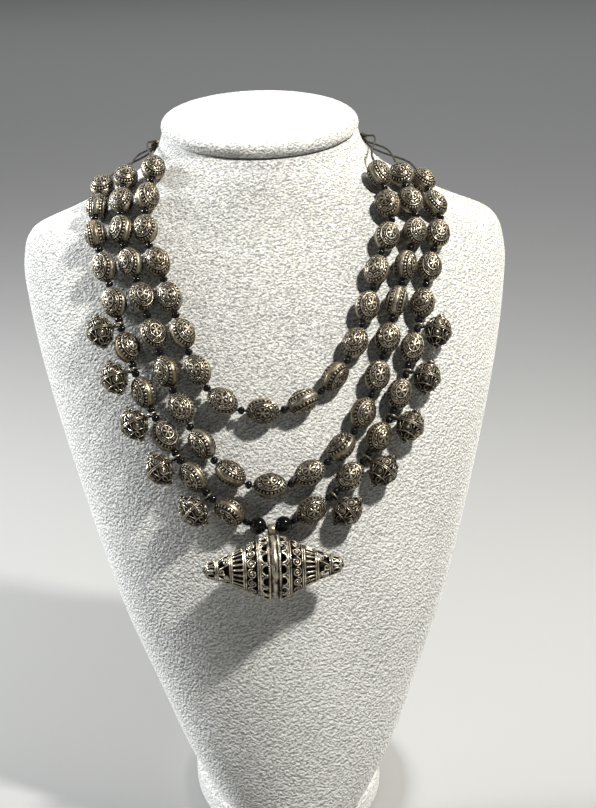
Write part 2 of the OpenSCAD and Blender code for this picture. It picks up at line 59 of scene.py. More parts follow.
def unit(vectors):
    """Vectors divided by their own length."""
    return vectors / np.linalg.norm(vectors, axis=-1, keepdims=True)


def ease(value):
    """Smooth step: 0 below 0, 1 above 1, and 3v^2 - 2v^3 between."""
    held = np.clip(value, 0, 1)
    return held * held * (3 - 2 * held)


def cubic(way, start, start_slope, end, end_slope):
    """Cubic from one value to the next with given slopes at both, its way going from 0 to 1."""
    return (
        (2 * way**3 - 3 * way**2 + 1) * start
        + (way**3 - 2 * way**2 + way) * start_slope
        + (3 * way**2 - 2 * way**3) * end
        + (way**3 - way**2) * end_slope
    )


def around(count, start=0.0):
    """Equal turns round a form, the first one at start of them."""
    return TURN * (np.arange(count) + start) / count


def oval(half_x, half_y, count):
    """A closed flat path: half_x cos a, half_y sin a."""
    return np.stack([half_x * np.cos(around(count)), half_y * np.sin(around(count))], -1)


def ovals(half_x, half_y, levels, count):
    """Level ovals about Z, a row for each level: half_x cos a, half_y sin a, level."""
    heights = np.repeat(np.reshape(levels, (-1, 1)), count, 1)
    return np.stack([
        np.outer(half_x, np.cos(around(count))), np.outer(half_y, np.sin(around(count))), heights,
    ], -1)


def turned(along, radius, count):
    """A form turned about X, from distances along it and radii there."""
    return ovals(radius, radius, along, count)[..., ::-1]


def spokes(turns):
    """Directions square to X, at turns from +Z to +Y."""
    return np.stack([0 * turns, np.sin(turns), np.cos(turns)], -1)


def middle_and_size(node):
    """Middle of a node's box and its size, in millimetres."""
    low, high = (np.array(corner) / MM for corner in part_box(node))
    return (low + high) / 2, high - low


def corners_of(node):
    """A node's corners in millimetres, equal ones welded, and which of them each vertex is."""
    mesh = NODES[node].data
    corners = np.empty(3 * len(mesh.vertices))
    mesh.vertices.foreach_get("co", corners)
    return np.unique(np.round(corners.reshape(-1, 3) / MM, 3), axis=0, return_inverse=True)


NO_TRIANGLES = np.empty((0, 3), int)


class Shape:
    """Points, faces and marks of one piece, gathered as grids. Sizes are in millimetres."""

    # What a point carries for the materials. Columns: name, type, property of its data.
    MARKS = (
        ("recess_and_shade", "FLOAT", "value"),
        ("tone", "FLOAT", "value"),
        ("place", "FLOAT_VECTOR", "vector"),
    )

    def __init__(self):
        self.layers = []
        self.faces = ([], [])
        self.count = 0

    def grid(self, points, loop=False, recess_and_shade=0.0, tone=0.5, place=0.0):
        """Adds grids shaped (copies, rows, columns, 3). The columns close into rings. The rows
        close into a loop, or else a fan round the middle of the first and of the last row closes
        them. A negative volume turns the faces round, so that they point outwards."""
        points = np.asarray(points, float)
        points = points.reshape((-1,) + points.shape[-3:])
        copies, rows, columns = points.shape[:3]
        index = np.arange(rows * columns).reshape(rows, columns)
        joined = slice(rows if loop else rows - 1)
        here, after = index[joined], np.roll(index, -1, 0)[joined]
        quads = np.stack([here, np.roll(here, -1, 1), np.roll(after, -1, 1), after], -1)
        quads = quads.reshape(-1, 4)
        marks = [np.broadcast_to(mark, points.shape[:3])[..., None] for mark in (recess_and_shade, tone)]
        layers = [points, *marks, np.broadcast_to(place, points.shape)]
        solid = [layer.reshape(copies, rows * columns, -1) for layer in layers]
        triangles = NO_TRIANGLES
        if not loop:
            solid = [
                np.concatenate([flat, layer[:, :1].mean(2), layer[:, -1:].mean(2)], 1)
                for flat, layer in zip(solid, layers)
            ]
            first, last = index[0], index[-1]
            hub = np.full(columns, rows * columns)
            triangles = np.concatenate([
                np.stack([np.roll(first, -1), first, hub], -1),
                np.stack([last, np.roll(last, -1), hub + 1], -1),
            ])
        corners = np.concatenate([quads[:, [0, 1, 2]], quads[:, [0, 2, 3]], triangles])
        centred = (solid[0][0] - solid[0][0].mean(0))[corners]
        if np.sum(centred[:, 0] * np.cross(centred[:, 1], centred[:, 2])) < 0:
            quads, triangles = quads[:, ::-1], triangles[:, ::-1]
        self.keep(solid, quads, triangles)

    def keep(self, solid, quads, triangles):
        """Stores copies of one mesh: points and marks, and faces counted from its first point."""
        copies, size = solid[0].shape[:2]
        starts = self.count + size * np.arange(copies)[:, None, None]
        self.layers.append([layer.reshape(-1, layer.shape[-1]) for layer in solid])
        for kept, faces in zip(self.faces, (quads, triangles)):
            kept.append((faces + starts).reshape(-1, faces.shape[-1]))
        self.count += copies * size

    def wire(self, paths, outs, radius, sides=6, loop=False, twist=0, lobe=0.0):
        """Adds wire along paths shaped (copies, points, 3): a ring of corners stands square to each
        point, its first corner towards outs. radius is a number or one for each point. twist turns
        a two-lobed section that many times on the way, lobe deep, as two strands laid together.
        Its dark mark rises from the wire's crest to its foot: oxide where it lies on the ground,
        and painted shade on its underside."""
        paths = np.asarray(paths, float).reshape((-1,) + np.shape(paths)[-2:])
        if loop:
            along = unit(np.roll(paths, -1, 1) - np.roll(paths, 1, 1))
        else:
            along = unit(np.gradient(paths, axis=1))
        across = unit(np.cross(along, np.broadcast_to(outs, paths.shape)))
        up = np.cross(across, along)
        angle = around(sides)
        way = np.linspace(0, 1, paths.shape[1], endpoint=not loop)
        lobes = np.cos(2 * (angle - TURN * twist * way[:, None]))
        reach = np.reshape(radius, (-1, 1)) * (1 - lobe + lobe * lobes)
        rings = (
            paths[:, :, None]
            + (reach * np.cos(angle))[None, :, :, None] * up[:, :, None]
            + (reach * np.sin(angle))[None, :, :, None] * across[:, :, None]
        )
        # Darker from crest to foot: oxide where the wire lies on the ground, painted shade under it
        self.grid(rings, loop, recess_and_shade=0.95 * ease(0.45 - 0.75 * np.cos(angle)))

    def balls(self, centres, radius):
        """Adds granules, small balls of six rows and eight columns."""
        tilt = np.linspace(0, np.pi, 8)[1:-1]
        ball = ovals(np.sin(tilt), np.sin(tilt), np.cos(tilt), 8) * radius
        self.grid(np.reshape(centres, (-1, 1, 1, 3)) + ball)

    def move(self, origin, axes=np.eye(3)):
        """Carries the points so far from the piece's own axes to a place and other axes."""
        for layers in self.layers:
            layers[0] = layers[0] @ np.asarray(axes) + origin

    def make(self, name, material, slot, body, *nodes):
        """Makes the object, which rides on a body and stands for CAD nodes."""
        points, *marks = (np.concatenate(parts) for parts in zip(*self.layers))
        faces = [np.concatenate(kept) for kept in self.faces]
        loops = np.concatenate([kind.ravel() for kind in faces])
        sides = np.repeat([4, 3], [len(kind) for kind in faces])
        mesh = bpy.data.meshes.new(name)
        mesh.vertices.add(len(points))
        mesh.vertices.foreach_set("co", (points * MM).ravel())
        mesh.loops.add(len(loops))
        mesh.loops.foreach_set("vertex_index", loops.astype(np.int32))
        mesh.polygons.add(len(sides))
        mesh.polygons.foreach_set("loop_start", (np.cumsum(sides) - sides).astype(np.int32))
        mesh.update(calc_edges=True)
        for (mark, kind, value), values in zip(self.MARKS, marks):
            layer = mesh.attributes.new(mark, kind, "POINT")
            layer.data.foreach_set(value, values.astype(np.float32).ravel())
        mesh.shade_smooth()
        mesh.materials.append(material)
        piece = bpy.data.objects.new(name, mesh)
        bpy.context.scene.collection.objects.link(piece)
        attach(piece, body)
        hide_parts(*nodes)


# Where the CAD model's pieces lie

def loose_solids(node):
    """Middle and covariance of each loose solid of a node, in millimetres. The lowest label spreads
    along the triangles until each solid has one, and the moments are sums over the tetrahedra that
    the triangles make with the node's middle."""
    mesh = NODES[node].data
    loops = np.empty(len(mesh.loops), np.int32)
    mesh.loops.foreach_get("vertex_index", loops)
    points, weld = corners_of(node)
    faces = weld.reshape(-1)[loops].reshape(-1, 3)
    labels = np.arange(len(points))
    while True:
        spread = labels.copy()
        np.minimum.at(spread, faces.ravel(), np.repeat(labels[faces].min(1), 3))
        spread = spread[spread]
        if np.array_equal(spread, labels):
            break
        labels = spread
    member = np.unique(labels[faces[:, 0]], return_inverse=True)[1]
    centre = points.mean(0)
    sides = (points - centre)[faces]
    whole = sides.sum(1)
    volume = np.sum(sides[:, 0] * np.cross(sides[:, 1], sides[:, 2]), -1) / 6
    total = np.bincount(member, volume)
    first, second = np.zeros((len(total), 3)), np.zeros((len(total), 3, 3))
    np.add.at(first, member, volume[:, None] * whole / 4)
    products = np.einsum("fi,fj->fij", whole, whole) + np.einsum("fki,fkj->fij", sides, sides)
    np.add.at(second, member, volume[:, None, None] * products / 20)
    middle = first / total[:, None]
    covariance = second / total[:, None, None] - np.einsum("si,sj->sij", middle, middle)
    return middle + centre, covariance


def long_axes(node):
    """Middle and long axis of each loose solid of a node."""
    middles, covariances = loose_solids(node)
    return middles, np.linalg.eigh(covariances)[1][:, :, 2]


OLIVE_NODES = ("inner_beads", "middle_beads", "outer_beads_left", "outer_beads_right")
OLIVES = {node: long_axes(node) for node in OLIVE_NODES}


def olive_ends(length):
    """The two ends of every olive bead, where the thread comes out."""
    middles, axes = (np.concatenate(parts) for parts in zip(*OLIVES.values()))
    return np.concatenate([middles - axes * length / 2, middles + axes * length / 2])


def nearest(points, places, rank=0):
    """For each place the point that is nearest, or next nearest at rank 1."""
    apart = np.linalg.norm(points[None] - places[:, None], axis=-1)
    return points[np.argsort(apart, axis=1)[:, rank]]


# Bust

# Level sections. Columns: height, half width, y of the widest line, depth in front of that
# line, depth behind it, forward slope in degrees. Millimetres, before the shift of the whole.
BUST_SECTIONS = np.array([
    [12, 31, -70, 24, 16, 0],
    [20, 38, -66, 27, 18, 0],
    [32, 46, -60, 32, 20, 0],
    [48, 55, -53, 37, 23, 0],
    [72, 66, -42, 44, 26, 0],
    [112, 84, -25, 52, 32, 0],
    [152, 98, -7, 58, 36, 0],
    [192, 111, 13, 62, 38, 0],
    [232, 123, 37, 66, 38, 0],
    [262, 130, 57, 68, 40, 0],
    [282, 132, 70, 67, 42, 0],
    [297, 126, 80, 65.5, 42, 0],
    [307, 103, 82, 61, 42, 0],
    [317, 81, 82, 55.5, 43, 0],
    [327, 65, 83, 51.5, 45, 2],
    [336, 57, 85, 49, 46, 7],
    [344, 54, 86, 47, 46.5, 12],
])
BUST_ROWS = 220
BUST_COLUMNS = 256
CAP_SLOPE = np.radians(BUST_SECTIONS[-1, 5])
CAP_HALF_DEPTH = 47.5
CAP_HALF_THICKNESS = 4.0
FOOT_EDGE_RADIUS = 2.5
OVAL_COLUMNS = 128
# The whole part is moved along Y so that its box stands over the origin, and the foot was at 0
SHIFT_Y = middle_and_size("bust_foot")[0][1]


def section_at(height):
    """The section's columns at a height: the cubic through neighbouring rows whose slopes there are
    those of the lines between the rows before and after."""
    heights, values = BUST_SECTIONS[:, 0], BUST_SECTIONS[:, 1:]
    rows = np.arange(len(heights))
    before, after = np.maximum(rows - 1, 0), np.minimum(rows + 1, rows[-1])
    slopes = (values[after] - values[before]) / (heights[after] - heights[before])[:, None]
    row = np.clip(np.searchsorted(heights, height, side="right") - 1, 0, rows[-1] - 1)
    span = (heights[row + 1] - heights[row])[..., None]
    way = (height - heights[row])[..., None] / span
    return cubic(way, values[row], span * slopes[row], values[row + 1], span * slopes[row + 1])


def bust_skin(turn, height):
    """Skin of the bust: half ellipses in front of and behind the widest line, sheared forward by
    the slope. turn is 0 at the front middle and a quarter turn at the right side."""
    turn, height = np.broadcast_arrays(turn, height)
    half, middle, front, back, slope = np.moveaxis(section_at(height), -1, 0)
    out = np.where(np.cos(turn) > 0, front, back) * np.cos(turn)
    return np.stack([
        half * np.sin(turn),
        middle - out + SHIFT_Y,
        height - out * np.tan(np.radians(slope)),
    ], -1)


BUST_LEVELS = np.linspace(BUST_SECTIONS[0, 0], BUST_SECTIONS[-1, 0], BUST_ROWS)
BUST_GRID = bust_skin(around(BUST_COLUMNS)[None], BUST_LEVELS[:, None])


def cap_form():
    """A disc with a round rim and a barely domed top, tilted forward about its middle."""
    middle, size = middle_and_size("bust_cap")
    thick = CAP_HALF_THICKNESS
    rim = np.linspace(-np.pi / 2, np.pi / 2, 13)
    inset = np.concatenate([
        [-30, -14, -5], thick * np.cos(rim) - thick, [-3 - thick, -14, -30, -44],
    ])
    level = np.concatenate([[-thick] * 3, thick * np.sin(rim), [thick] * 4])
    cap = Shape()
    cap.grid(ovals(size[0] / 2 + inset, CAP_HALF_DEPTH + inset, level, OVAL_COLUMNS))
    c, s = np.cos(CAP_SLOPE), np.sin(CAP_SLOPE)
    cap.move(middle, [[1, 0, 0], [0, c, s], [0, -s, c]])
    return cap


def foot_form():
    """An oval plate with softened edges: quarter circles carried round it."""
    middle, size = middle_and_size("bust_foot")
    soft, half = FOOT_EDGE_RADIUS, size[2] / 2
    bend = np.linspace(0, np.pi / 2, 5)
    lower = np.stack([soft * np.sin(bend) - soft, soft - half - soft * np.cos(bend)], -1)
    upper = np.stack([soft * np.cos(bend) - soft, half - soft + soft * np.sin(bend)], -1)
    edge = np.concatenate([[[-24, -half]], lower, upper, [[-8, half], [-24, half]]])
    foot = Shape()
    foot.grid(ovals(size[0] / 2 + edge[:, 0], size[1] / 2 + edge[:, 0], edge[:, 1], OVAL_COLUMNS))
    foot.move(middle)
    return foot


def outward(places):
    """Direction from the nearest point of the bust's skin to each place."""
    skin = BUST_GRID[::2, ::2].reshape(-1, 3)
    return unit(places - nearest(skin, places))


# Materials

class Value:
    """A shader value. Python's operators on it add Math nodes."""

    def __init__(self, shader, socket):
        self.shader = shader
        self.socket = socket

    def __add__(self, other):
        return self.shader.math("ADD", self, other)

    def __sub__(self, other):
        return self.shader.math("SUBTRACT", self, other)

    def __rsub__(self, other):
        return self.shader.math("SUBTRACT", other, self)

    def __mul__(self, other):
        return self.shader.math("MULTIPLY", self, other)

    def __truediv__(self, other):
        return self.shader.math("DIVIDE", self, other)

    __radd__ = __add__
    __rmul__ = __mul__

    def between(self, low, high):
        """0 below low, 1 above high, and smooth between."""
        inputs = {"Value": self, "From Min": low, "From Max": high}
        return self.shader.node("ShaderNodeMapRange", {"interpolation_type": "SMOOTHSTEP"}, inputs)


class Shader:
    """One material's nodes, around a Principled shader."""

    def __init__(self, name, **constants):
        self.material = bpy.data.materials.new(name)
        self.material.use_nodes = True
        self.tree = self.material.node_tree
        self.surface = self.tree.nodes["Principled BSDF"]
        self.feed_surface(**constants)

    def node(self, kind, settings=None, inputs=None, output=0):
        """Adds a node, sets it, feeds its sockets, and returns one of its outputs as a value."""
        node = self.tree.nodes.new(kind)
        for setting, value in (settings or {}).items():
            setattr(node, setting, value)
        for place, value in (inputs or {}).items():
            self.feed(node.inputs[place], value)
        return Value(self, node.outputs[output])

    def feed(self, socket, value):
        """Links a value to a socket, or sets a number or colour there."""
        if isinstance(value, Value):
            self.tree.links.new(value.socket, socket)
        else:
            socket.default_value = value

    def feed_surface(self, **values):
        """Feeds the Principled shader's sockets, named with underscores for spaces."""
        for socket, value in values.items():
            self.feed(self.surface.inputs[socket.replace("_", " ")], value)

    def math(self, operation, *values):
        """What a Math node makes of values and numbers."""
        return self.node("ShaderNodeMath", {"operation": operation}, dict(enumerate(values)))

    def mark(self, name, output="Fac"):
        """A mark that the mesh carries."""
        return self.node("ShaderNodeAttribute", {"attribute_name": name}, output=output)

    def position(self, scale=(1, 1, 1), turn=(0, 0, 0), shift=(0, 0, 0)):
        """The piece's own coordinates, scaled, turned and shifted."""
        inputs = {"Vector": self.node("ShaderNodeTexCoord", output="Object")}
        inputs.update({"Scale": scale, "Rotation": turn, "Location": shift})
        return self.node("ShaderNodeMapping", None, inputs)

    def noise(self, scale, detail=2.0, roughness=0.5, vector=None, distortion=0.0):
        """Noise from about 0.3 to 0.7, with scale features in a metre."""
        inputs = {"Scale": scale, "Detail": detail, "Roughness": roughness}
        inputs.update({"Distortion": distortion, "Vector": vector or self.position()})
        return self.node("ShaderNodeTexNoise", None, inputs)

    def mix(self, amount, first, second):
        """Colour between two colours."""
        inputs = {0: amount, 6: first, 7: second}
        return self.node("ShaderNodeMix", {"data_type": "RGBA"}, inputs, output=2)

    def bump(self, height, distance, strength):
        """A normal tilted by a height, which distance scales."""
        inputs = {"Height": height, "Distance": distance, "Strength": strength}
        return self.node("ShaderNodeBump", None, inputs)


def rgb(colour):
    """A colour property as a socket's four numbers."""
    return tuple(colour[:3]) + (1.0,)


TUFTS = 860
TUFT_STRETCH = (0.8, 1, 1)
TUFT_SLANT = (0, 0.25, 0)
# How far up the tufts' height is read again, for the painted light and shade on each tuft
PAINTED_SHADE_REACH = 0.0005


def velvet_finish(name, finish):
    """Short plush with its nap down. Its colour holds painted light and shade: each tuft is painted
    pale on top and shaded below, from the difference of the tufts' height here and half a
    millimetre further up; it is also darker where the tufts are low, and in large random clouds."""
    shader = Shader(
        name, Roughness=0.95, Sheen_Weight=0.5, Sheen_Roughness=0.4, Specular_IOR_Level=0.05,
    )
    tufts, above = (
        shader.noise(TUFTS, 1.6, 0.45, shader.position(TUFT_STRETCH, TUFT_SLANT, shift), 0.5)
        for shift in ((0, 0, 0), (0, 0, PAINTED_SHADE_REACH))
    )
    clouds = shader.noise(16)
    # Painted light and shade: each tuft pale on top and shaded below; also darker where the tufts
    # are low, and random clouds
    tone_and_painted_shade = 0.52 + 1.8 * (tufts - above) + 0.9 * (tufts - 0.5) + 0.3 * (clouds - 0.5)
    shade, tip = rgb(finish.velvet_shade), rgb(finish.velvet)
    shader.feed_surface(
        Base_Color=shader.mix(tone_and_painted_shade.between(0, 1), shade, tip),
        Normal=shader.bump(tufts, 0.0012, 0.75),
    )
    return shader.material


def silver_surface(shader, finish, rubbed, shine, depth):
    """Oxidised silver: bright where it is rubbed, brown-black where depth is high, warm in patches.
    The depth holds oxide in the hollows and painted shade under the wires and on the pendant's
    inner sleeve. Returns its two noises."""
    tone = shader.mark("tone")
    patina = shader.noise(260, 3, 0.62)
    grain = shader.noise(1500)
    dark = (depth + 1.2 * patina - 0.36).between(0.05, 0.6)
    warmth = (tone + patina - 0.5).between(0.55, 0.95)
    bright = shader.mix(warmth, rgb(rubbed), rgb(finish.worn))
    shader.feed_surface(
        Base_Color=shader.mix(dark, bright, rgb(finish.recess_and_shade)),
        Metallic=1 - 0.55 * dark,
        Roughness=shine + 0.34 * dark + 0.22 * (patina - 0.5) + 0.12 * (grain - 0.5),
    )
    return grain, patina


def plain_silver_finish(name, finish, rubbed):
    """Silver for wire and turned pieces, dark in their recesses, and with painted shade under the
    wires and on the pendant's inner sleeve.
    """
    shader = Shader(name, Specular_IOR_Level=0.15)
    grain, patina = silver_surface(shader, finish, rubbed, 0.24, shader.mark("recess_and_shade"))
    shader.feed_surface(Normal=shader.bump(grain + patina, 0.00006, 0.5))
    return shader.material


# Ring of curls round an olive bead's flower. Its place is a share of the way from the medallion's
# middle to the seam, and a curl's reach goes from 0 in its middle to 1 at its cell's side.
CURLS = 8
CURL_MIDDLE = 0.425
CURL_REACH = 0.098
CURL_WIND = 7.0
CURL_RING_START = 0.31
CURL_RING_END = 0.535


def relief_silver_finish(name, finish):
    """Silver for the olive beads. The place mark is the distance from the medallion's middle, where
    the seam is 1, as a flat vector: curls wind in a ring of cells round the flower, each the cosine
    of its angle plus its reach times the winding."""
    shader = Shader(name, Specular_IOR_Level=0.15)
    place = shader.mark("place", "Vector")
    x, y = (shader.node("ShaderNodeSeparateXYZ", None, {0: place}, axis) for axis in (0, 1))
    away = shader.math("SQRT", x * x + y * y)
    turn = shader.math("ARCTAN2", y, x) / TURN
    cell = shader.math("FRACT", turn * CURLS + CURLS) * 2 - 1
    up = (away - CURL_MIDDLE) / CURL_REACH
    reach = shader.math("SQRT", cell * cell + up * up)
    wound = shader.math("COSINE", shader.math("ARCTAN2", cell, up) + reach * CURL_WIND)
    in_cell = (1.25 - reach).between(0.0, 0.25)
    in_ring = (away - CURL_RING_START).between(0.0, 0.035)
    inside = in_cell * in_ring * (CURL_RING_END - away).between(0.0, 0.035)
    curl = wound.between(-0.5, 0.3)
    depth = shader.mark("recess_and_shade") + inside * (0.75 - curl)
    grain, patina = silver_surface(shader, finish, finish.silver, 0.33, depth)
    height = inside * curl + 0.12 * grain + 0.1 * patina
    shader.feed_surface(Normal=shader.bump(height, 0.00022, 0.8))
    return shader.material


def black_finish(name, finish):
    """Polished black glass bead with faint smears."""
    shader = Shader(name, IOR=1.36)
    smears = shader.noise(700)
    shader.feed_surface(
        Base_Color=shader.mix(smears, rgb(finish.black), rgb(finish.smear)),
        Roughness=0.04 + 0.1 * smears,
    )
    return shader.material


def cord_finish(name, colour, shade, fibres_in_metre):
    """Spun thread: fine fibres along two directions, darker between."""
    shader = Shader(name, Roughness=0.85)
    slanted = shader.position((1, 1, 2.5), (0.6, 0.2, 0.5))
    fibres = shader.noise(fibres_in_metre, vector=slanted)
    shader.feed_surface(
        Base_Color=shader.mix(fibres.between(0.35, 0.65), rgb(shade), rgb(colour)),
        Normal=shader.bump(fibres, 0.0002, 0.6),
    )
    return shader.material


def material_once(name, maker, *values):
    """The named material, made on its first use."""
    return bpy.data.materials.get(name) or maker(name, *values)


# Olive beads

BARS = 24
BEAD_COLUMNS = 3 * BARS
LADDER_START = 0.64
LADDER_END = 0.795
# Relief of one side of an olive bead. Columns: distance from the medallion's middle, where the
# seam is 1, and height above the ground in millimetres.
BEAD_RELIEF = np.array([
    [0.035, 0.32], [0.07, 0.26], [0.1, 0.02], [0.14, 0.04], [0.19, 0.04], [0.235, 0.02],
    [0.255, 0.0], [0.275, 0.27], [0.3, 0.27], [0.32, 0.02], [0.355, 0.04], [0.39, 0.04],
    [0.425, 0.04], [0.46, 0.04], [0.495, 0.04], [0.53, 0.02], [0.55, 0.42], [0.58, 0.42],
    [0.605, -0.12], [0.635, -0.12], [0.655, -0.1], [0.785, -0.1], [0.805, -0.12], [0.825, 0.3],
    [0.855, 0.3], [0.875, -0.02], [0.895, 0.14], [0.94, 0.2], [1.0, 0.2],
])
PETALS = 6
PETAL_START = 0.08
PETAL_END = 0.258
# Width and thickness of the relief's oval, as shares of the bead's width
RELIEF_OVAL = (1.05, 0.96)
GROUND_DEPTH = 0.22
HOLE_DENT = 0.5
# Spread of the beads' turns about their thread, and the range of their tones
BEAD_TURN = np.radians(42)
BEAD_TONES = (0.1, 0.75)


def olive_relief(away, turn):
    """Height of the relief: the table's rings, six petals round the middle, the curls' spiral
    stripes in their cells, and a ladder of square bars."""
    height = np.interp(away, *BEAD_RELIEF.T)
    petal = ease(0.5 + 1.2 * np.cos(PETALS * turn))
    petal = petal * ease((away - PETAL_START) / 0.045) * ease((PETAL_END - away) / 0.035)
    cell = np.mod(turn * CURLS / TURN, 1) * 2 - 1
    up = (away - CURL_MIDDLE) / CURL_REACH
    reach = np.hypot(cell, up)
    curl = ease(0.5 + np.cos(np.arctan2(cell, up) + reach * CURL_WIND)) * ease(3.2 - 2.6 * reach)
    in_bars = (away > LADDER_START) & (away < LADDER_END)
    bar = np.mod(np.floor(turn * BEAD_COLUMNS / TURN), 3) < 2
    return height + 0.26 * petal + 0.2 * curl + 0.46 * (in_bars & bar)


def olive_skin(length, width, end_radius):
    """One bead about X, its medallions facing up and down Z: rings round each medallion from its
    middle to the seam, pushed onto the oval of one large and two small arcs, then raised by the
    relief. Returns points, depth of recess, and place marks."""
    away = np.concatenate([BEAD_RELIEF[:, 0], BEAD_RELIEF[-2::-1, 0]])[:, None]
    side = np.repeat([1, -1], [len(BEAD_RELIEF), len(BEAD_RELIEF) - 1])[:, None]
    turn = around(BEAD_COLUMNS, 0.5)[None]
    tilt = away * np.pi / 2
    half = np.array([length, width * RELIEF_OVAL[0], width * RELIEF_OVAL[1]]) / 2
    ray = np.stack([
        half[0] * np.sin(tilt) * np.cos(turn),
        half[1] * np.sin(tilt) * np.sin(turn),
        half[2] * np.cos(tilt) * side * np.ones_like(turn),
    ], -1)
    # The large arc's middle lies below the axis, and the small arcs' middles lie on it
    across = np.hypot(ray[..., 1] / half[1], ray[..., 2] / half[2]) * width / 2
    end_middle = length / 2 - end_radius
    spare = width / 2 - end_radius
    below = (end_middle**2 - spare**2) / (2 * spare)
    large = width / 2 + below
    meet = end_middle * large / (large - end_radius)
    size = ray[..., 0] ** 2 + across**2
    drop = across * below
    stretch = (-drop + np.sqrt(drop**2 + size * (large**2 - below**2))) / size
    back = np.abs(ray[..., 0]) * end_middle
    inside = np.maximum(back**2 - size * (end_middle**2 - end_radius**2), 0)
    stretch_end = (back + np.sqrt(inside)) / size
    stretch = np.where(np.abs(ray[..., 0]) * stretch > meet, stretch_end, stretch)
    skin = ray * stretch[..., None]
    height = olive_relief(*np.broadcast_arrays(away, turn))
    near_hole = ease(1.6 - np.hypot(skin[..., 1], skin[..., 2]) / 1.1)
    lift = height - GROUND_DEPTH - HOLE_DENT * near_hole
    points = skin + unit(skin / half**2) * lift[..., None]
    recess_and_shade = np.maximum(ease((0.16 - height) / 0.24), near_hole)
    place = np.stack([away * np.cos(turn), away * np.sin(turn), np.zeros_like(away * turn)], -1)
    return points, recess_and_shade, place


def olive_string(node, sizes, material, draw):
    """One string of olive beads, each turned about the thread by its own amount."""
    middles, axes = OLIVES[node]
    lengths = (sizes.bead_length, sizes.bead_width, sizes.bead_end)
    skin, recess_and_shade, place = olive_skin(*(length / MM for length in lengths))
    out = outward(middles)
    side = unit(np.cross(out, axes))
    out = np.cross(axes, side)
    turns = draw.normal(0, BEAD_TURN, len(middles))[:, None]
    up = out * np.cos(turns) + side * np.sin(turns)
    axes_of = np.stack([axes, np.cross(up, axes), up], 1)
    points = np.einsum("rci,bij->brcj", skin, axes_of) + middles[:, None, None]
    seam = ease((np.linalg.norm(place, axis=-1) - 0.87) / 0.04)
    lots = draw.uniform(*BEAD_TONES, len(middles))[:, None, None]
    shape = Shape()
    shape.grid(points, recess_and_shade=recess_and_shade, tone=lots + 0.3 * seam, place=place)
    shape.make(node + "_relief", material, "silver", "bust", node)


# Black beads, in millimetres
SPACER_LENGTH = 3.1
SPACER_WIDTH = 4.2
SPACER_END = 2.4
BIG_BEAD_LENGTH = 8.6
BIG_BEAD_END = 2.0
HOLE_WIDTH = 1.6
HOLE_DEPTH = 0.4


def barrel(shape, middle, axis, length, width, end):
    """A polished bead: an arc between two flat ends, with the drilled hole's mouth sunk in."""
    sag = (width - end) / 2
    arc = (length**2 / 4 + sag**2) / (2 * sag)
    half, hole = length / 2, HOLE_WIDTH / 2
    along = np.linspace(-1, 1, 13) * half
    radius = width / 2 - arc + np.sqrt(arc**2 - along**2)
    along = np.concatenate([[HOLE_DEPTH - half, -half], along * 0.995, [half, half - HOLE_DEPTH]])
    radius = np.concatenate([[hole, hole + 0.1], radius, [hole + 0.1, hole]])
    side = unit(np.cross(axis, [0.31, 0.62, 0.72]))
    shape.grid(middle + ovals(radius, radius, along, 20) @ [side, np.cross(axis, side), axis])


# Wirework

SLOPE_STEP = 0.4


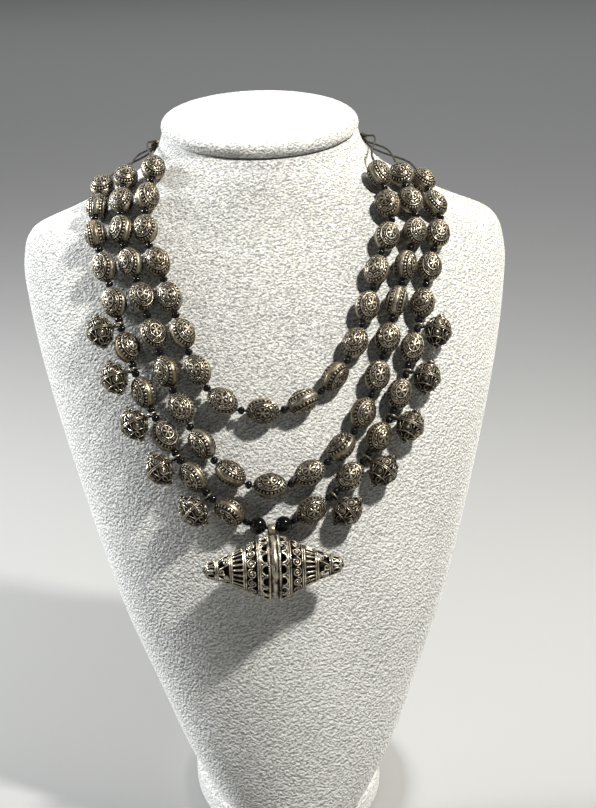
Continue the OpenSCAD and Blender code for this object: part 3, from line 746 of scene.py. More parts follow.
class Wirework(Shape):
    """Wires, granules and pierced walls on a form turned about X, whose table has columns for the
    distance from the middle and the radius. Patterns are drawn on it flat, along it and round it,
    at side -1 or 1, and may be lifted off it."""

    def __init__(self, cone):
        super().__init__()
        self.cone = cone.T

    def at(self, side, along, turn, lift=0.0):
        """Points and outward directions at distances and at turns round X from +Z."""
        radius = np.interp(along, *self.cone)
        after, before = (np.interp(along + step, *self.cone) for step in (SLOPE_STEP, -SLOPE_STEP))
        lean = np.arctan2(before - after, 2 * SLOPE_STEP)
        radius = radius + lift * np.cos(lean)
        turn = turn + np.zeros_like(radius)
        along = side * (along + lift * np.sin(lean)) + 0 * turn
        points = np.stack([along, radius * np.sin(turn), radius * np.cos(turn)], -1)
        outs = spokes(turn) * np.cos(lean)[..., None] + (side * np.sin(lean))[..., None] * [1, 0, 0]
        return points, outs

    def draw(self, side, along, turns, flat, lift=0.0):
        """Copies of a flat path (points, 2) round the form, each about its own turn."""
        reach = along + flat[None, :, 0] + 0 * turns[:, None]
        turn = turns[:, None] + flat[None, :, 1] / np.interp(reach, *self.cone)
        return self.at(side, reach, turn, lift)

    def trace(self, side, along, turns, flat, radius, sides=5, lift=0.0, loop=False):
        """Adds copies of a flat path as wire."""
        self.wire(*self.draw(side, along, turns, flat, lift), radius, sides, loop)

    def ring(self, side, along, points, radius, sides=6, lift=0.1, **lobes):
        """Adds a closed wire round the form."""
        path = self.at(side, np.full(points, along), around(points), lift)
        self.wire(*path, radius, sides, True, **lobes)

    def dots(self, side, along, turns, radius, lift=0.0):
        """Adds granules."""
        self.balls(self.draw(side, along, turns, np.zeros((1, 2)), lift)[0], radius)

    def discs(self, side, along, turns, section):
        """Adds round bosses, turned from a section of radii, lifts and recess marks."""
        circles = section[:, :1, None] * oval(1, 1, 16)
        rings = [
            self.draw(side, along, turns, circle, lift)[0]
            for circle, lift in zip(circles, section[:, 1])
        ]
        self.grid(np.stack(rings, 1), recess_and_shade=section[:, 2, None])

    def pierced(self, side, alongs, columns, window, wall, recess_and_shade, lift):
        """A turned wall with windows: outer and inner skins on a grid of distances and turns,
        without the cells where window(along, turn) is true, and rims that join the skins round
        each window."""
        turn = around(columns)
        outer, inner = (
            self.at(side, alongs[:, None], turn[None], height)[0] for height in (lift, lift - wall)
        )
        under = len(alongs) * columns
        index = np.arange(under).reshape(len(alongs), columns)
        middle_along = (alongs[1:] + alongs[:-1])[:, None] / 2
        kept = ~window(middle_along, turn[None] + TURN / columns / 2 + 0 * middle_along)
        beside = np.roll(index, -1, 1)
        corner = [index[:-1], beside[:-1], beside[1:], index[1:]]
        cells = np.stack(corner, -1)[kept]
        padded = np.pad(kept, ((1, 1), (0, 0)))
        beyond = (padded[:-2], np.roll(kept, -1, 1), padded[2:], np.roll(kept, 1, 1))
        rims = []
        for first, second, neighbour in zip(corner, corner[1:] + corner[:1], beyond):
            edge = kept & ~neighbour
            a, b = first[edge], second[edge]
            rims.append(np.stack([b, a, a + under, b + under], -1))
        quads = np.concatenate([cells, cells[:, ::-1] + under] + rims)
        if side > 0:
            quads = quads[:, ::-1]
        used, packed = np.unique(quads, return_inverse=True)
        points = np.concatenate([outer.reshape(-1, 3), inner.reshape(-1, 3)])[used][None]
        dark = np.repeat([recess_and_shade, 1.0], under)[used][None, :, None]
        solid = [points, dark, np.full_like(dark, 0.5), np.zeros_like(points)]
        self.keep(solid, packed.reshape(-1, 4), NO_TRIANGLES)


def never(along, turn):
    """The window of a wall that has none."""
    return np.zeros(np.broadcast(along, turn).shape, bool)


def from_cell_middle(turn, count):
    """How far a turn lies from the side of its cell, from 0 at the side to a half in the middle."""
    return np.abs(np.mod(turn * count / TURN, 1) - 0.5)


def spiral(reach, winds, points, start=0.0):
    """A flat path that winds out evenly from its middle to reach."""
    way = np.linspace(0.06, 1, points)
    angle = TURN * winds * way + start
    return np.stack([reach * way * np.cos(angle), reach * way * np.sin(angle)], -1)


def scroll(reach, radius, winds, lean):
    """An S of two spirals whose middles lie at reach on either side of its own middle, leaned. Each
    winds out to radius and ends where its tangent is the other's too."""
    way = np.linspace(0, 1, 26)
    angle = np.arccos(-radius / reach) - TURN * winds * (1 - way)
    ways = np.stack([np.cos(angle), np.sin(angle)], -1)
    wound = radius * (0.2 + 0.8 * way)[:, None] * ways + [reach, 0]
    c, s = np.cos(lean), np.sin(lean)
    return np.concatenate([wound, -wound[::-1]]) @ np.array([[c, s], [-s, c]])


# Drops

# The drop's cone. Columns: distance from its middle, radius.
DROP_CONE = np.array([
    [0, 7.1], [0.9, 7.0], [5.1, 5.25], [5.9, 4.7], [7.5, 2.7], [8.4, 1.4], [9.6, 1.2],
])
# Belly inside the double band, and the lid at either end. Columns: distance, radius.
DROP_BELLY = np.array([
    [-1.15, 6.1], [-1.1, 6.75], [-0.6, 6.95], [0, 6.95], [0.6, 6.95], [1.1, 6.75], [1.15, 6.1],
])
DROP_LID = np.array([[5.2, 3.9], [5.6, 4.35], [6.4, 3.5], [7.2, 2.5], [8.0, 1.6], [8.5, 0.9]])
# Section of a drop's medallion, from its edge inwards. Columns: radius, lift, recess.
MEDALLION = np.array([
    [2.0, -0.4, 1], [2.2, 0.0, 0.2], [2.1, 0.28, 0], [1.85, 0.28, 0.1], [1.72, 0.04, 0.8],
    [1.45, 0.08, 0.5], [1.3, 0.16, 0.25], [0.7, 0.3, 0.15], [0.45, 0.55, 0], [0.2, 0.64, 0],
])
MEDALLIONS = 5
MEDALLION_ALONG = 3.05
FINIAL_LOOPS = 4
FINIAL_LOOP_RADIUS = 0.95
FINIAL_LOOP_ALONG = 8.75


def drop_window(along, turn):
    """True in the triangles between the medallions, wide at the belly and closing at the ring."""
    middle = 0.5 - from_cell_middle(turn, MEDALLIONS)
    apart = middle * TURN / MEDALLIONS * np.interp(along, *DROP_CONE.T)
    return (along > 1.2) & (along < 4.7) & (apart < 1.05 * (5.2 - along) / 4)


def drop_form(sizes):
    """One drop about X, its hanging ring at the thread: a twisted double band, five spiral
    medallions and pierced triangles on each cone, a twisted ring, a cap with petals and a
    finial."""
    ball = Wirework(DROP_CONE)
    ball.grid(turned(*DROP_BELLY.T, 60), recess_and_shade=0.55)
    medallions, gaps = around(MEDALLIONS, 0.5), around(MEDALLIONS)
    for side in (-1, 1):
        ball.ring(side, 0.42, 108, 0.44, sides=7, twist=17, lobe=0.2)
        ball.ring(side, 5.2, 72, 0.36, twist=12, lobe=0.18)
        zone = np.linspace(1.0, 5.3, 11)
        ball.pierced(side, zone, 70, drop_window, wall=0.5, recess_and_shade=0.6, lift=-0.35)
        ball.discs(side, MEDALLION_ALONG, medallions, MEDALLION)
        winding = spiral(reach=1.3, winds=1.7, points=26)
        ball.trace(side, MEDALLION_ALONG, medallions, winding, 0.2, lift=0.22)
        for slant in (-1, 1):
            strut = np.linspace([1.0, 1.3 * slant], [5.0, 0.1 * slant], 4)
            ball.trace(side, 0, gaps, strut, 0.28, lift=0.05)
        ball.grid(turned(side * DROP_LID[:, 0], DROP_LID[:, 1], 30), recess_and_shade=0.8)
        ball.trace(side, 6.6, around(6, 0.5), oval(0.95, 1.0, 12), 0.24, loop=True)
        ball.ring(side, 7.9, 24, 0.3)
        # Open loops stand up round the finial's granule
        out = spokes(around(FINIAL_LOOPS, 0.5))[:, None]
        circle = oval(FINIAL_LOOP_RADIUS, FINIAL_LOOP_RADIUS, 12)[None]
        middle = out * FINIAL_LOOP_RADIUS + [side * FINIAL_LOOP_ALONG, 0, 0]
        loops = middle + circle[..., :1] * [1, 0, 0] + circle[..., 1:] * out
        ball.wire(loops, np.cross(out, [1, 0, 0]), 0.24, 5, loop=True)
        ball.balls([[side * 9.1, 0, 0]], 0.85)
    ball.move([0, 0, sizes.drop_reach / MM])
    ring = spokes(around(28))
    path = [0, 0, sizes.ring_slack / MM] + ring * sizes.ring_radius / MM
    ball.wire(path, ring, 0.6, 8, loop=True, twist=5, lobe=0.08)
    return ball


def drop_axes(node, length):
    """Place and axes of a drop: X through its two finials, the farthest points on either side of
    its middle along the thread, and Z from the thread to its middle."""
    points = corners_of(node)[0]
    centre = points.mean(0)[None]
    first, second = (nearest(olive_ends(length), centre, rank)[0] for rank in (0, 1))
    thread_way = unit(second - first)
    along = thread_way
    for _ in range(3):
        reach = points @ along
        low = points[reach < reach.min() + 0.6].mean(0)
        high = points[reach > reach.max() - 0.6].mean(0)
        along = unit(high - low)
    middle = (low + high) / 2
    out = middle - (first + np.dot(middle - first, thread_way) * thread_way)
    out = unit(out - along * np.dot(out, along))
    return middle, np.stack([along, np.cross(out, along), out])


# Pendant

# The pendant's cone. Columns: distance from its middle, radius.
PENDANT_CONE = np.array([
    [0, 16.1], [3.0, 15.8], [3.2, 15.5], [7.2, 14.3], [14.2, 10.7], [20.9, 7.6], [28.1, 5.1],
    [33.0, 3.6], [34.2, 2.4], [35.0, 1.0],
])
# The bright band round its middle. Columns: distance, radius, recess.
PENDANT_BAND = np.array([
    [-3.4, 14.8, 0.8], [-3.35, 15.7, 0.3], [-2.9, 15.95, 0], [-2.2, 15.8, 0.5], [-0.6, 15.8, 0],
    [0, 16.15, 0], [0.6, 15.8, 0], [2.2, 15.8, 0.5], [2.9, 15.95, 0], [3.35, 15.7, 0.3],
    [3.4, 14.8, 0.8],
])
# Wires round it. Columns: distance, wire radius, points.
PENDANT_RINGS = (
    (6.95, 0.5, 120), (8.0, 0.42, 120), (14.05, 0.4, 120), (15.05, 0.46, 120), (20.85, 0.46, 60),
    (21.85, 0.4, 60), (27.95, 0.4, 60), (28.9, 0.42, 60), (33.3, 0.45, 60),
)
# Thin collars that carry each pair of rings, from one distance to another
PENDANT_COLLARS = ((6.8, 8.2), (13.9, 15.3), (20.6, 22.1), (27.7, 29.2))
# The tip beyond the last ring. Columns: distance, radius.
PENDANT_TIP = np.array([
    [33.1, 2.6], [33.3, 3.4], [33.9, 3.0], [34.4, 2.1], [34.9, 1.2], [35.1, 0.4],
])
# A dark sleeve inside the hollow pendant, painted shade seen through the openings: its half length,
# and its share of the cone's radius
SHADE_SLEEVE_HALF = 29.5
SHADE_SLEEVE_SHARE = 0.62
MILLED_POINTS = 392
SCALLOPS = 16
SPIRALS = 15
SPIRAL_ALONG = 11.0
BAR_COUNT = 22
SCROLLS = 5
SCROLL_ALONG = 24.95
SCROLL_LEAN = -1.1
TIP_PETALS = 8
PETAL_ALONG = 31.1
TIP_DOTS_ALONG = 33.9
TIP_ALONG = 34.9


def gap_between_spirals(along, turn):
    """True in the small diamonds between two spirals, near either edge of their zone."""
    return (from_cell_middle(turn, SPIRALS) > 0.36) & (np.abs(along - SPIRAL_ALONG) > 0.95)


def gap_in_petals(along, turn):
    """True inside the tip's petals."""
    return (from_cell_middle(turn, TIP_PETALS) < 0.27) & (np.abs(along - PETAL_ALONG) < 1.45)


def pendant_form(sizes):
    """The bicone about X: a bright band, and on each side scallops, spirals, bars, scrolls and
    petals between doubled rings."""
    ball = Wirework(PENDANT_CONE)
    outer = turned(*PENDANT_BAND[:, :2].T, 120)
    inner = outer[::-1] * [0.98, 0.9, 0.9]
    marks = np.concatenate([PENDANT_BAND[:, 2:], np.ones((len(PENDANT_BAND), 1))])
    ball.grid(np.concatenate([outer, inner]), loop=True, recess_and_shade=marks)
    # A dark sleeve inside the hollow: painted shade seen through the openings
    shade_sleeve = np.linspace(-SHADE_SLEEVE_HALF, SHADE_SLEEVE_HALF, 25)
    shade_sleeve_radius = SHADE_SLEEVE_SHARE * np.interp(np.abs(shade_sleeve), *PENDANT_CONE.T)
    ball.grid(turned(shade_sleeve, shade_sleeve_radius, 32), recess_and_shade=1)
    arch = np.linspace(0, np.pi, 13)
    scallop = np.stack([3.05 * np.sin(arch), -2.65 * np.cos(arch)], -1)
    # Four points to a bead of the milled wire
    milled = 0.36 + 0.14 * np.cos(TURN * np.arange(MILLED_POINTS) / 4)
    for side in (-1, 1):
        ball.ring(side, 2.5, MILLED_POINTS, milled, sides=5, lift=0.2)
        for along, wire, points in PENDANT_RINGS:
            ball.ring(side, along, points, wire)
        for low, high in PENDANT_COLLARS:
            zone = np.linspace(low, high, 4)
            ball.pierced(side, zone, 60, never, wall=0.6, recess_and_shade=0.6, lift=-0.15)
        ball.trace(side, 3.3, around(SCALLOPS, 0.5), scallop, 0.52, sides=6, lift=0.1)
        ball.dots(side, 6.15, around(SCALLOPS), 0.55, lift=0.1)
        zone = np.linspace(8.2, 13.9, 9)
        ball.pierced(side, zone, 120, gap_between_spirals, wall=0.4, recess_and_shade=0.95, lift=-0.5)
        spirals = around(SPIRALS, 0.5)
        winding = spiral(reach=2.4, winds=2, points=44, start=np.pi / 2)
        ball.trace(side, SPIRAL_ALONG, spirals, winding, 0.37, lift=0.05)
        ball.dots(side, SPIRAL_ALONG, spirals, 0.42, lift=0.15)
        bar = np.linspace([15.1, 0], [20.8, 0], 4)
        ball.trace(side, 0, around(BAR_COUNT, 0.5), bar, 0.54, sides=6, lift=-0.05)
        curve = scroll(reach=2.6, radius=1.65, winds=1.3, lean=SCROLL_LEAN)
        ball.trace(side, SCROLL_ALONG, around(SCROLLS, 0.5), curve, 0.42)
        ball.dots(side, SCROLL_ALONG, around(SCROLLS), 0.6)
        zone = np.linspace(29.1, 33.4, 13)
        ball.pierced(side, zone, 64, gap_in_petals, wall=0.4, recess_and_shade=0.7, lift=-0.3)
        petals = around(TIP_PETALS, 0.5)
        ball.trace(side, PETAL_ALONG, petals, oval(2.0, 1.2, 16), 0.44, lift=0.05, loop=True)
        ball.grid(turned(side * PENDANT_TIP[:, 0], PENDANT_TIP[:, 1], 32), recess_and_shade=0.35)
        ball.dots(side, TIP_DOTS_ALONG, petals, 0.45, lift=0.1)
        ball.balls([[side * TIP_ALONG, 0, 0]], 0.7)
    ball.move([0, 0, -sizes.pendant_drop / MM])
    bail_loop(ball, sizes)
    return ball


def bail_slack(sizes):
    """From the thread down to the middle of the bail's loop, on which the pendant swings."""
    return (sizes.bail_inner - sizes.thread_width / 2 - sizes.bail_play) / MM


STEM_END = 15.6
# The bail's stem, from the loop down to the band, which it meets at that distance from the axis.
# Columns: share of the bail's half width, recess.
BAIL_STEM = np.array([
    [0.9, 0.6], [0.74, 0.3], [0.66, 0.1], [0.68, 0.1], [0.8, 0.3], [1.0, 0.7], [1.15, 1],
])


def bail_loop(shape, sizes):
    """The bail: a crowned strap round the thread, its section a circle whose cosine and sine are
    raised to powers, and a waisted stem down to the band."""
    inner, outer, width = (
        size / MM for size in (sizes.bail_inner, sizes.bail_outer, sizes.bail_width)
    )
    centre = np.array([0, 0, -bail_slack(sizes)])
    middle, thick = (inner + outer) / 2, (outer - inner) / 2
    c, s = np.cos(around(12)), np.sin(around(12))
    depth = middle + thick * np.sign(c) * np.abs(c) ** 0.7
    across = width / 2 * np.sign(s) * np.abs(s) ** 0.6
    radial = spokes(around(40))[:, None]
    rings = centre + radial * depth[None, :, None] + across[None, :, None] * [1, 0, 0]
    shape.grid(rings, loop=True, recess_and_shade=0.4 * (1 - c))
    heights = np.linspace(centre[2] - middle, STEM_END - sizes.pendant_drop / MM, len(BAIL_STEM))
    waist = BAIL_STEM[:, 0] * width / 2
    shape.grid(ovals(waist, waist * 0.68, heights, 16), recess_and_shade=BAIL_STEM[:, 1:])


# The cord's mean radius as a share of its width, and its turns on the way
CORD_SHARE = 0.42
CORD_TWISTS = 7


def cord_path(node):
    """Middle line of a cord's eight-sided tube: its corners, sorted by the angle round the neck and
    taken eight at a time, averaged, and the cubic through those."""
    points = corners_of(node)[0]
    neck = middle_and_size("bust_cap")[0]
    order = np.argsort(np.arctan2(np.abs(points[:, 0]), points[:, 1] - neck[1]))
    knots = points[order].reshape(-1, 8, 3).mean(1)
    before = np.concatenate([2 * knots[:1] - knots[1:2], knots[:-1]])
    after = np.concatenate([knots[1:], 2 * knots[-1:] - knots[-2:-1]])
    slopes = (after - before) / 2
    way = np.linspace(0, len(knots) - 1, 120)
    row = np.minimum(way.astype(int), len(knots) - 2)
    return cubic((way - row)[:, None], knots[row], slopes[row], knots[row + 1], slopes[row + 1])


# Properties, operators and panel

def number(name, description, default, **more):
    """A number that the user can set."""
    return bpy.props.FloatProperty(name=name, description=description, default=default, **more)


def length(name, description, millimetres):
    """A length, kept in metres."""
    return number(name, description, millimetres * MM, unit="LENGTH", precision=5)


def colour(name, description, parts):
    """A colour of three parts."""
    return bpy.props.FloatVectorProperty(
        name=name, description=description, default=parts, subtype="COLOR", min=0, max=1
    )


class NecklaceSizes(bpy.types.PropertyGroup):
    """Sizes that the pieces follow."""

    bead_length: length("Bead length", "Length of an olive bead along its thread", 17.2)
    bead_width: length("Bead width", "Largest diameter of an olive bead", 12.6)
    bead_end: length("Bead end", "Radius of the small arcs at a bead's ends", 4.7)
    big_bead: length("Big bead", "Diameter of the black beads beside the bail", 8.8)
    drop_reach: length("Drop reach", "From the thread to a drop's middle", 11.25)
    ring_radius: length("Ring radius", "Middle-line radius of a drop's ring", 2.4)
    ring_slack: length("Ring slack", "From the thread to the middle of a drop's ring", 1.0)
    pendant_drop: length("Pendant drop", "From the thread to the pendant's axis", 22.6)
    pendant_lean: number(
        "Pendant lean", "Lean of the pendant out from straight down", np.radians(48),
        subtype="ANGLE",
    )
    bail_width: length("Bail width", "Width of the bail along the thread", 3.6)
    bail_inner: length("Bail inside", "Inner radius of the bail's loop", 2.2)
    bail_outer: length("Bail outside", "Outer radius of the bail's loop", 3.3)
    bail_play: length("Bail play", "Gap between the thread and the bail's loop", 0.25)
    thread_width: length("Thread", "Diameter of the bead thread", 1.2)
    cord_width: length("Cord", "Diameter of the cord behind the neck", 3.2)


class NecklaceFinish(bpy.types.PropertyGroup):
    """Colours of the pieces."""

    silver: colour("Silver", "Rubbed silver", (0.43, 0.38, 0.295))
    bright: colour("Pendant", "Rubbed silver of the pendant", (0.6, 0.535, 0.42))
    worn: colour("Worn silver", "Silver worn to a warm tint", (0.35, 0.28, 0.175))
    # Oxide in the hollows; the same dark paints shade under the wires and on the pendant's inner
    # sleeve
    recess_and_shade: colour("Recess", "Oxide in the recesses", (0.012, 0.009, 0.006))
    black: colour("Black", "Black glass of the small beads", (0.002, 0.002, 0.002))
    smear: colour("Smear", "Smears on the black glass", (0.008, 0.0075, 0.007))
    # Light and dark ends of the velvet's colour: the dark end is painted shade below each tuft's
    # top, and darker pile where the tufts are low
    velvet: colour("Velvet", "Tips of the pile", (0.7, 0.695, 0.66))
    velvet_shade: colour("Velvet shade", "Under the pile's tips", (0.22, 0.22, 0.213))
    cord: colour("Cord", "Cord behind the neck", (0.6, 0.57, 0.5))
    cord_shade: colour("Cord shade", "Between the cord's fibres", (0.25, 0.23, 0.19))
    thread: colour("Thread", "Waxed bead thread", (0.035, 0.03, 0.025))
    thread_shade: colour("Thread shade", "Between its fibres", (0.01, 0.008, 0.006))


class NecklaceStudio(bpy.types.PropertyGroup):
    """Lights and floor."""

    key: number("Key light", "Power of the key light", 41, unit="POWER")
    rim: number("Rim lights", "Power of the left light behind", 50, unit="POWER")
    fill: number("Fill lights", "Power of the front light", 0.9, unit="POWER")
    backdrop: number("Backdrop light", "Power over the floor behind", 115, unit="POWER")
    sky: number("Room light", "Strength of the even room light", 0.035)
    floor: colour("Floor", "Pale floor", (0.27, 0.27, 0.265))


class NecklaceOperator:
    """What the operators of the pieces share."""

    bl_options = {"REGISTER", "UNDO"}

    # The settings in the scene
    sizes = property(lambda self: bpy.context.scene.necklace_sizes)
    finish = property(lambda self: bpy.context.scene.necklace_finish)

    def wire_silver(self):
        """The silver of the drops, the gathering ends and the clasp."""
        return material_once("silver_wire", plain_silver_finish, self.finish, self.finish.silver)

    def paint(self, material, *nodes):
        """Gives CAD nodes a material."""
        for node in nodes:
            for slot in NODES[node].material_slots:
                slot.material = material


class NECKLACE_OT_bust(NecklaceOperator, bpy.types.Operator):
    """Velvet neck bust: the leaning form, the sloping cap and the oval foot."""

    bl_idname = "necklace.bust"
    bl_label = "Velvet bust"

    def execute(self, context):
        velvet = material_once("velvet_pile", velvet_finish, self.finish)
        form = Shape()
        form.grid(BUST_GRID)
        form.make("bust_velvet", velvet, "velvet", "bust", "bust_form")
        cap_form().make("cap_velvet", velvet, "velvet", "bust", "bust_cap")
        foot_form().make("foot_velvet", velvet, "velvet", "bust", "bust_foot")
        return {"FINISHED"}


class NECKLACE_OT_olive_beads(NecklaceOperator, bpy.types.Operator):
    """Strings of pressed silver olive beads with medallions, ladder bars and a smooth seam."""

    bl_idname = "necklace.olive_beads"
    bl_label = "Olive beads"

    def execute(self, context):
        silver = material_once("silver_relief", relief_silver_finish, self.finish)
        draw = np.random.default_rng(11)
        for node in OLIVE_NODES:
            olive_string(node, self.sizes, silver, draw)
        return {"FINISHED"}


class NECKLACE_OT_black_beads(NecklaceOperator, bpy.types.Operator):
    """Polished black beads between the olive beads, and the big pair beside the bail."""

    bl_idname = "necklace.black_beads"
    bl_label = "Black beads"

    def execute(self, context):
        ends = olive_ends(self.sizes.bead_length / MM)
        for node in sorted(name for name in NODES if "_spacers" in name):
            middles = loose_solids(node)[0]
            ways = nearest(ends, middles) - nearest(ends, middles, 1)
            self.string(node, middles, ways, SPACER_LENGTH, SPACER_WIDTH, SPACER_END)
        middles = loose_solids("pendant_beads")[0]
        ways = nearest(ends, middles) - middles
        width = self.sizes.big_bead / MM
        self.string("pendant_beads", middles, ways, BIG_BEAD_LENGTH, width, BIG_BEAD_END)
        return {"FINISHED"}

    def string(self, node, middles, ways, *lengths):
        """Like beads at middles, their holes along ways."""
        shape = Shape()
        for middle, way in zip(middles, unit(ways)):
            barrel(shape, middle, way, *lengths)
        black = material_once("black_glass", black_finish, self.finish)
        shape.make(node + "_polished", black, "black_bead", "bust", node)


class NECKLACE_OT_drops(NecklaceOperator, bpy.types.Operator):
    """Pierced wirework drops that hang from the outer strand."""

    bl_idname = "necklace.drops"
    bl_label = "Drops"

    def execute(self, context):
        silver = self.wire_silver()
        for node in sorted(name for name in NODES if name.startswith("drop_")):
            shape = drop_form(self.sizes)
            middle, axes = drop_axes(node, self.sizes.bead_length / MM)
            shape.move(middle - axes[2] * self.sizes.drop_reach / MM, axes)
            shape.make(node + "_wirework", silver, "silver", "bust", node)
        return {"FINISHED"}


class NECKLACE_OT_pendant(NecklaceOperator, bpy.types.Operator):
    """The large pierced bicone with its bail."""

    bl_idname = "necklace.pendant"
    bl_label = "Pendant"

    def execute(self, context):
        finish, lean = self.finish, self.sizes.pendant_lean
        silver = material_once("pendant_silver", plain_silver_finish, finish, finish.bright)
        swing = next(joint for joint in frame["joints"] if joint["name"] == "pendant_swing")
        up = np.array([0, np.sin(lean), np.cos(lean)])
        shape = pendant_form(self.sizes)
        thread = np.array(swing["pos_m"]) / MM + bail_slack(self.sizes) * up
        shape.move(thread, [[1, 0, 0], np.cross(up, [1, 0, 0]), up])
        shape.make("pendant_wirework", silver, "silver", "pendant", "pendant")
        return {"FINISHED"}


class NECKLACE_OT_back(NecklaceOperator, bpy.types.Operator):
    """Thread, and behind the neck the cord with its gathering ends and barrel clasp."""

    bl_idname = "necklace.back"
    bl_label = "Threads, cord and clasp"

    def execute(self, context):
        finish, spun = self.finish, cord_finish
        thread = material_once("waxed_thread", spun, finish.thread, finish.thread_shade, 1800)
        cord = material_once("spun_cord", spun, finish.cord, finish.cord_shade, 1400)
        self.paint(thread, "inner_thread", "middle_thread", "outer_thread")
        for node in ("neck_cord_left", "neck_cord_right"):
            shape = Shape()
            radius = self.sizes.cord_width / MM * CORD_SHARE
            shape.wire(cord_path(node), [0, 0, 1], radius, 12, twist=CORD_TWISTS, lobe=0.16)
            shape.make(node + "_twisted", cord, "cord", "bust", node)
        self.paint(self.wire_silver(), "cord_end_left", "cord_end_right", "clasp")
        return {"FINISHED"}


# The photo's view, in millimetres, degrees and pixels of a picture 596 wide and 808 high
TARGET = np.array([9.7, -40 + SHIFT_Y, 221])
CAMERA_DISTANCE = 1100
CAMERA_AZIMUTH = -3
CAMERA_ELEVATION = 15
CAMERA_ROLL = 1.8
FOCAL_PIXELS = 2156.9
IMAGE_HEIGHT = 808
# Square area lights. Columns: name, the property with its power and the share of that, way to the
# light from what it faces, distance and width in metres, colour, and the point that it faces.
CHEST = tuple(TARGET * MM)
SHOULDER = (0.12, 0.03, 0.28)
FLOOR_BEHIND = (0, 3.4, 0)
LIGHTS = (
    ("key_light", "key", 1, (0.49, -0.36, 0.8), 1.5, 0.13, (1, 0.975, 0.93), CHEST),
    ("left_rim", "rim", 1, (-0.84, 0.36, 0.4), 1.5, 0.4, (0.95, 0.975, 1), CHEST),
    ("right_rim", "rim", 0.075, (0.55, 0.4, 0.75), 0.6, 0.25, (1, 0.94, 0.8), SHOULDER),
    ("side_light", "fill", 2, (-1, -0.25, 0.25), 1.5, 0.4, (0.93, 0.96, 1), CHEST),
    ("front_light", "fill", 1, (-0.25, -1, 0.2), 1.8, 0.5, (0.9, 0.95, 1), CHEST),
    ("backdrop_light", "backdrop", 1, (0, 0.05, 1), 3, 5, (0.97, 0.98, 1), FLOOR_BEHIND),
)
ROOM_COLOUR = (0.9, 0.94, 1)
FLOOR_HALF = 12


def facing(place, back, roll=0.0):
    """Matrix of a lamp or camera at a place that looks against back, rolled about its view."""
    right = unit(np.cross([0, 0, 1], back))
    up = np.cross(back, right)
    rolled_right = right * np.cos(roll) - up * np.sin(roll)
    rolled_up = right * np.sin(roll) + up * np.cos(roll)
    matrix = np.eye(4)
    matrix[:3, :] = np.stack([rolled_right, rolled_up, back, place], -1)
    return Matrix(matrix.tolist())


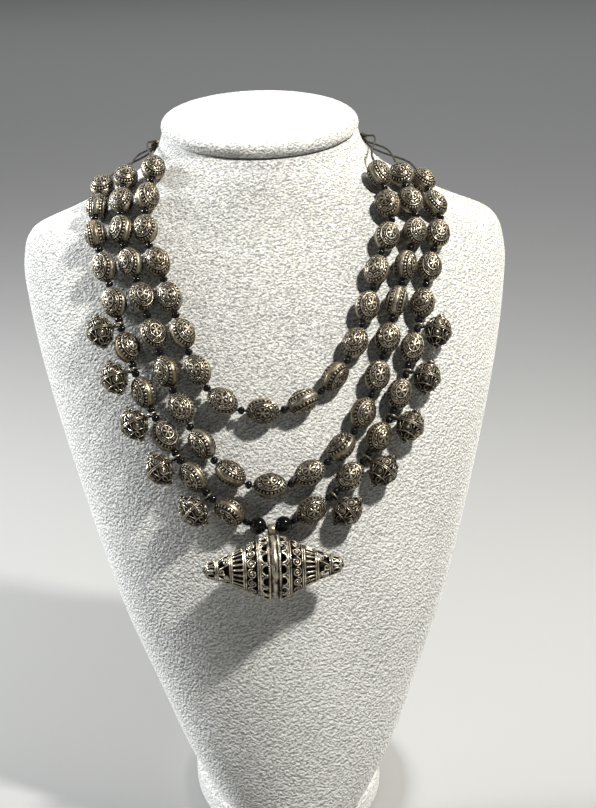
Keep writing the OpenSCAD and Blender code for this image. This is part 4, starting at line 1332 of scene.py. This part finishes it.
class NECKLACE_OT_stage(NecklaceOperator, bpy.types.Operator):
    """Pale floor, soft studio light and the camera."""

    bl_idname = "necklace.stage"
    bl_label = "Stage"

    def execute(self, context):
        scene, studio = context.scene, context.scene.necklace_studio
        self.floor(studio)
        for name, source, share, *rest in LIGHTS:
            self.light(name, getattr(studio, source) * share, *rest)
        world = bpy.data.worlds.new("room")
        world.use_nodes = True
        background = world.node_tree.nodes["Background"]
        background.inputs["Color"].default_value = rgb(ROOM_COLOUR)
        background.inputs["Strength"].default_value = studio.sky
        scene.world = world
        scene.view_settings.view_transform = "Standard"
        scene.camera = self.camera()
        return {"FINISHED"}

    def link(self, name, data):
        """A new object in the scene."""
        thing = bpy.data.objects.new(name, data)
        bpy.context.scene.collection.objects.link(thing)
        return thing

    def floor(self, studio):
        """A wide level square of paper."""
        mesh = bpy.data.meshes.new("floor")
        half = FLOOR_HALF
        corners = [(-half, -half, 0), (half, -half, 0), (half, half, 0), (-half, half, 0)]
        mesh.from_pydata(corners, [], [(0, 1, 2, 3)])
        floor = self.link("floor", mesh)
        paper = Shader("floor_paper", Roughness=0.9, Specular_IOR_Level=0.2)
        shade = rgb([part * 0.97 for part in studio.floor])
        paper.feed_surface(Base_Color=paper.mix(paper.noise(900), shade, rgb(studio.floor)))
        mesh.materials.append(paper.material)

    def light(self, name, power, way, distance, size, colour, aim):
        """A square area light in a direction from its aim, facing it."""
        data = bpy.data.lights.new(name, "AREA")
        data.size = size
        data.energy = power
        data.color = colour
        back = unit(np.array(way, float))
        self.link(name, data).matrix_world = facing(aim + back * distance, back)

    def camera(self):
        """The camera at the photo's angle, its lens from the photo's pixels."""
        data = bpy.data.cameras.new("camera")
        data.sensor_fit = "VERTICAL"
        data.sensor_height = 36
        data.lens = FOCAL_PIXELS * data.sensor_height / IMAGE_HEIGHT
        data.clip_start = 0.05
        data.clip_end = 60
        camera = self.link("camera", data)
        side, rise = np.radians(CAMERA_AZIMUTH), np.radians(CAMERA_ELEVATION)
        level = np.array([np.sin(side), -np.cos(side), 0])
        back = level * np.cos(rise) + [0, 0, np.sin(rise)]
        place = (TARGET + back * CAMERA_DISTANCE) * MM
        camera.matrix_world = facing(place, back, np.radians(CAMERA_ROLL))
        return camera


OPERATORS = (
    NECKLACE_OT_bust,
    NECKLACE_OT_olive_beads,
    NECKLACE_OT_black_beads,
    NECKLACE_OT_drops,
    NECKLACE_OT_pendant,
    NECKLACE_OT_back,
    NECKLACE_OT_stage,
)
GROUPS = {
    "necklace_sizes": NecklaceSizes,
    "necklace_finish": NecklaceFinish,
    "necklace_studio": NecklaceStudio,
}


class NECKLACE_PT_panel(bpy.types.Panel):
    """Lists the pieces, and the sizes, colours and lights."""

    bl_label = "Necklace"
    bl_space_type = "VIEW_3D"
    bl_region_type = "UI"
    bl_category = "Necklace"

    def draw(self, context):
        for operator in OPERATORS:
            self.layout.operator(operator.bl_idname)
        for group in GROUPS:
            settings = getattr(context.scene, group)
            for name in settings.__annotations__:
                self.layout.prop(settings, name)


CLASSES = (*GROUPS.values(), *OPERATORS, NECKLACE_PT_panel)


def register():
    """Adds the classes, and the settings to the scene."""
    for kind in CLASSES:
        bpy.utils.register_class(kind)
    for name, group in GROUPS.items():
        setattr(bpy.types.Scene, name, bpy.props.PointerProperty(type=group))


def unregister():
    """Takes the settings and the classes away."""
    for name in GROUPS:
        delattr(bpy.types.Scene, name)
    for kind in reversed(CLASSES):
        bpy.utils.unregister_class(kind)


def main():
    """Makes the pieces and the stage round the CAD model."""
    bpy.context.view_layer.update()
    register()
    bpy.ops.necklace.bust()
    bpy.ops.necklace.olive_beads()
    bpy.ops.necklace.black_beads()
    bpy.ops.necklace.drops()
    bpy.ops.necklace.pendant()
    bpy.ops.necklace.back()
    bpy.ops.necklace.stage()


if __name__ == "__main__":
    main()
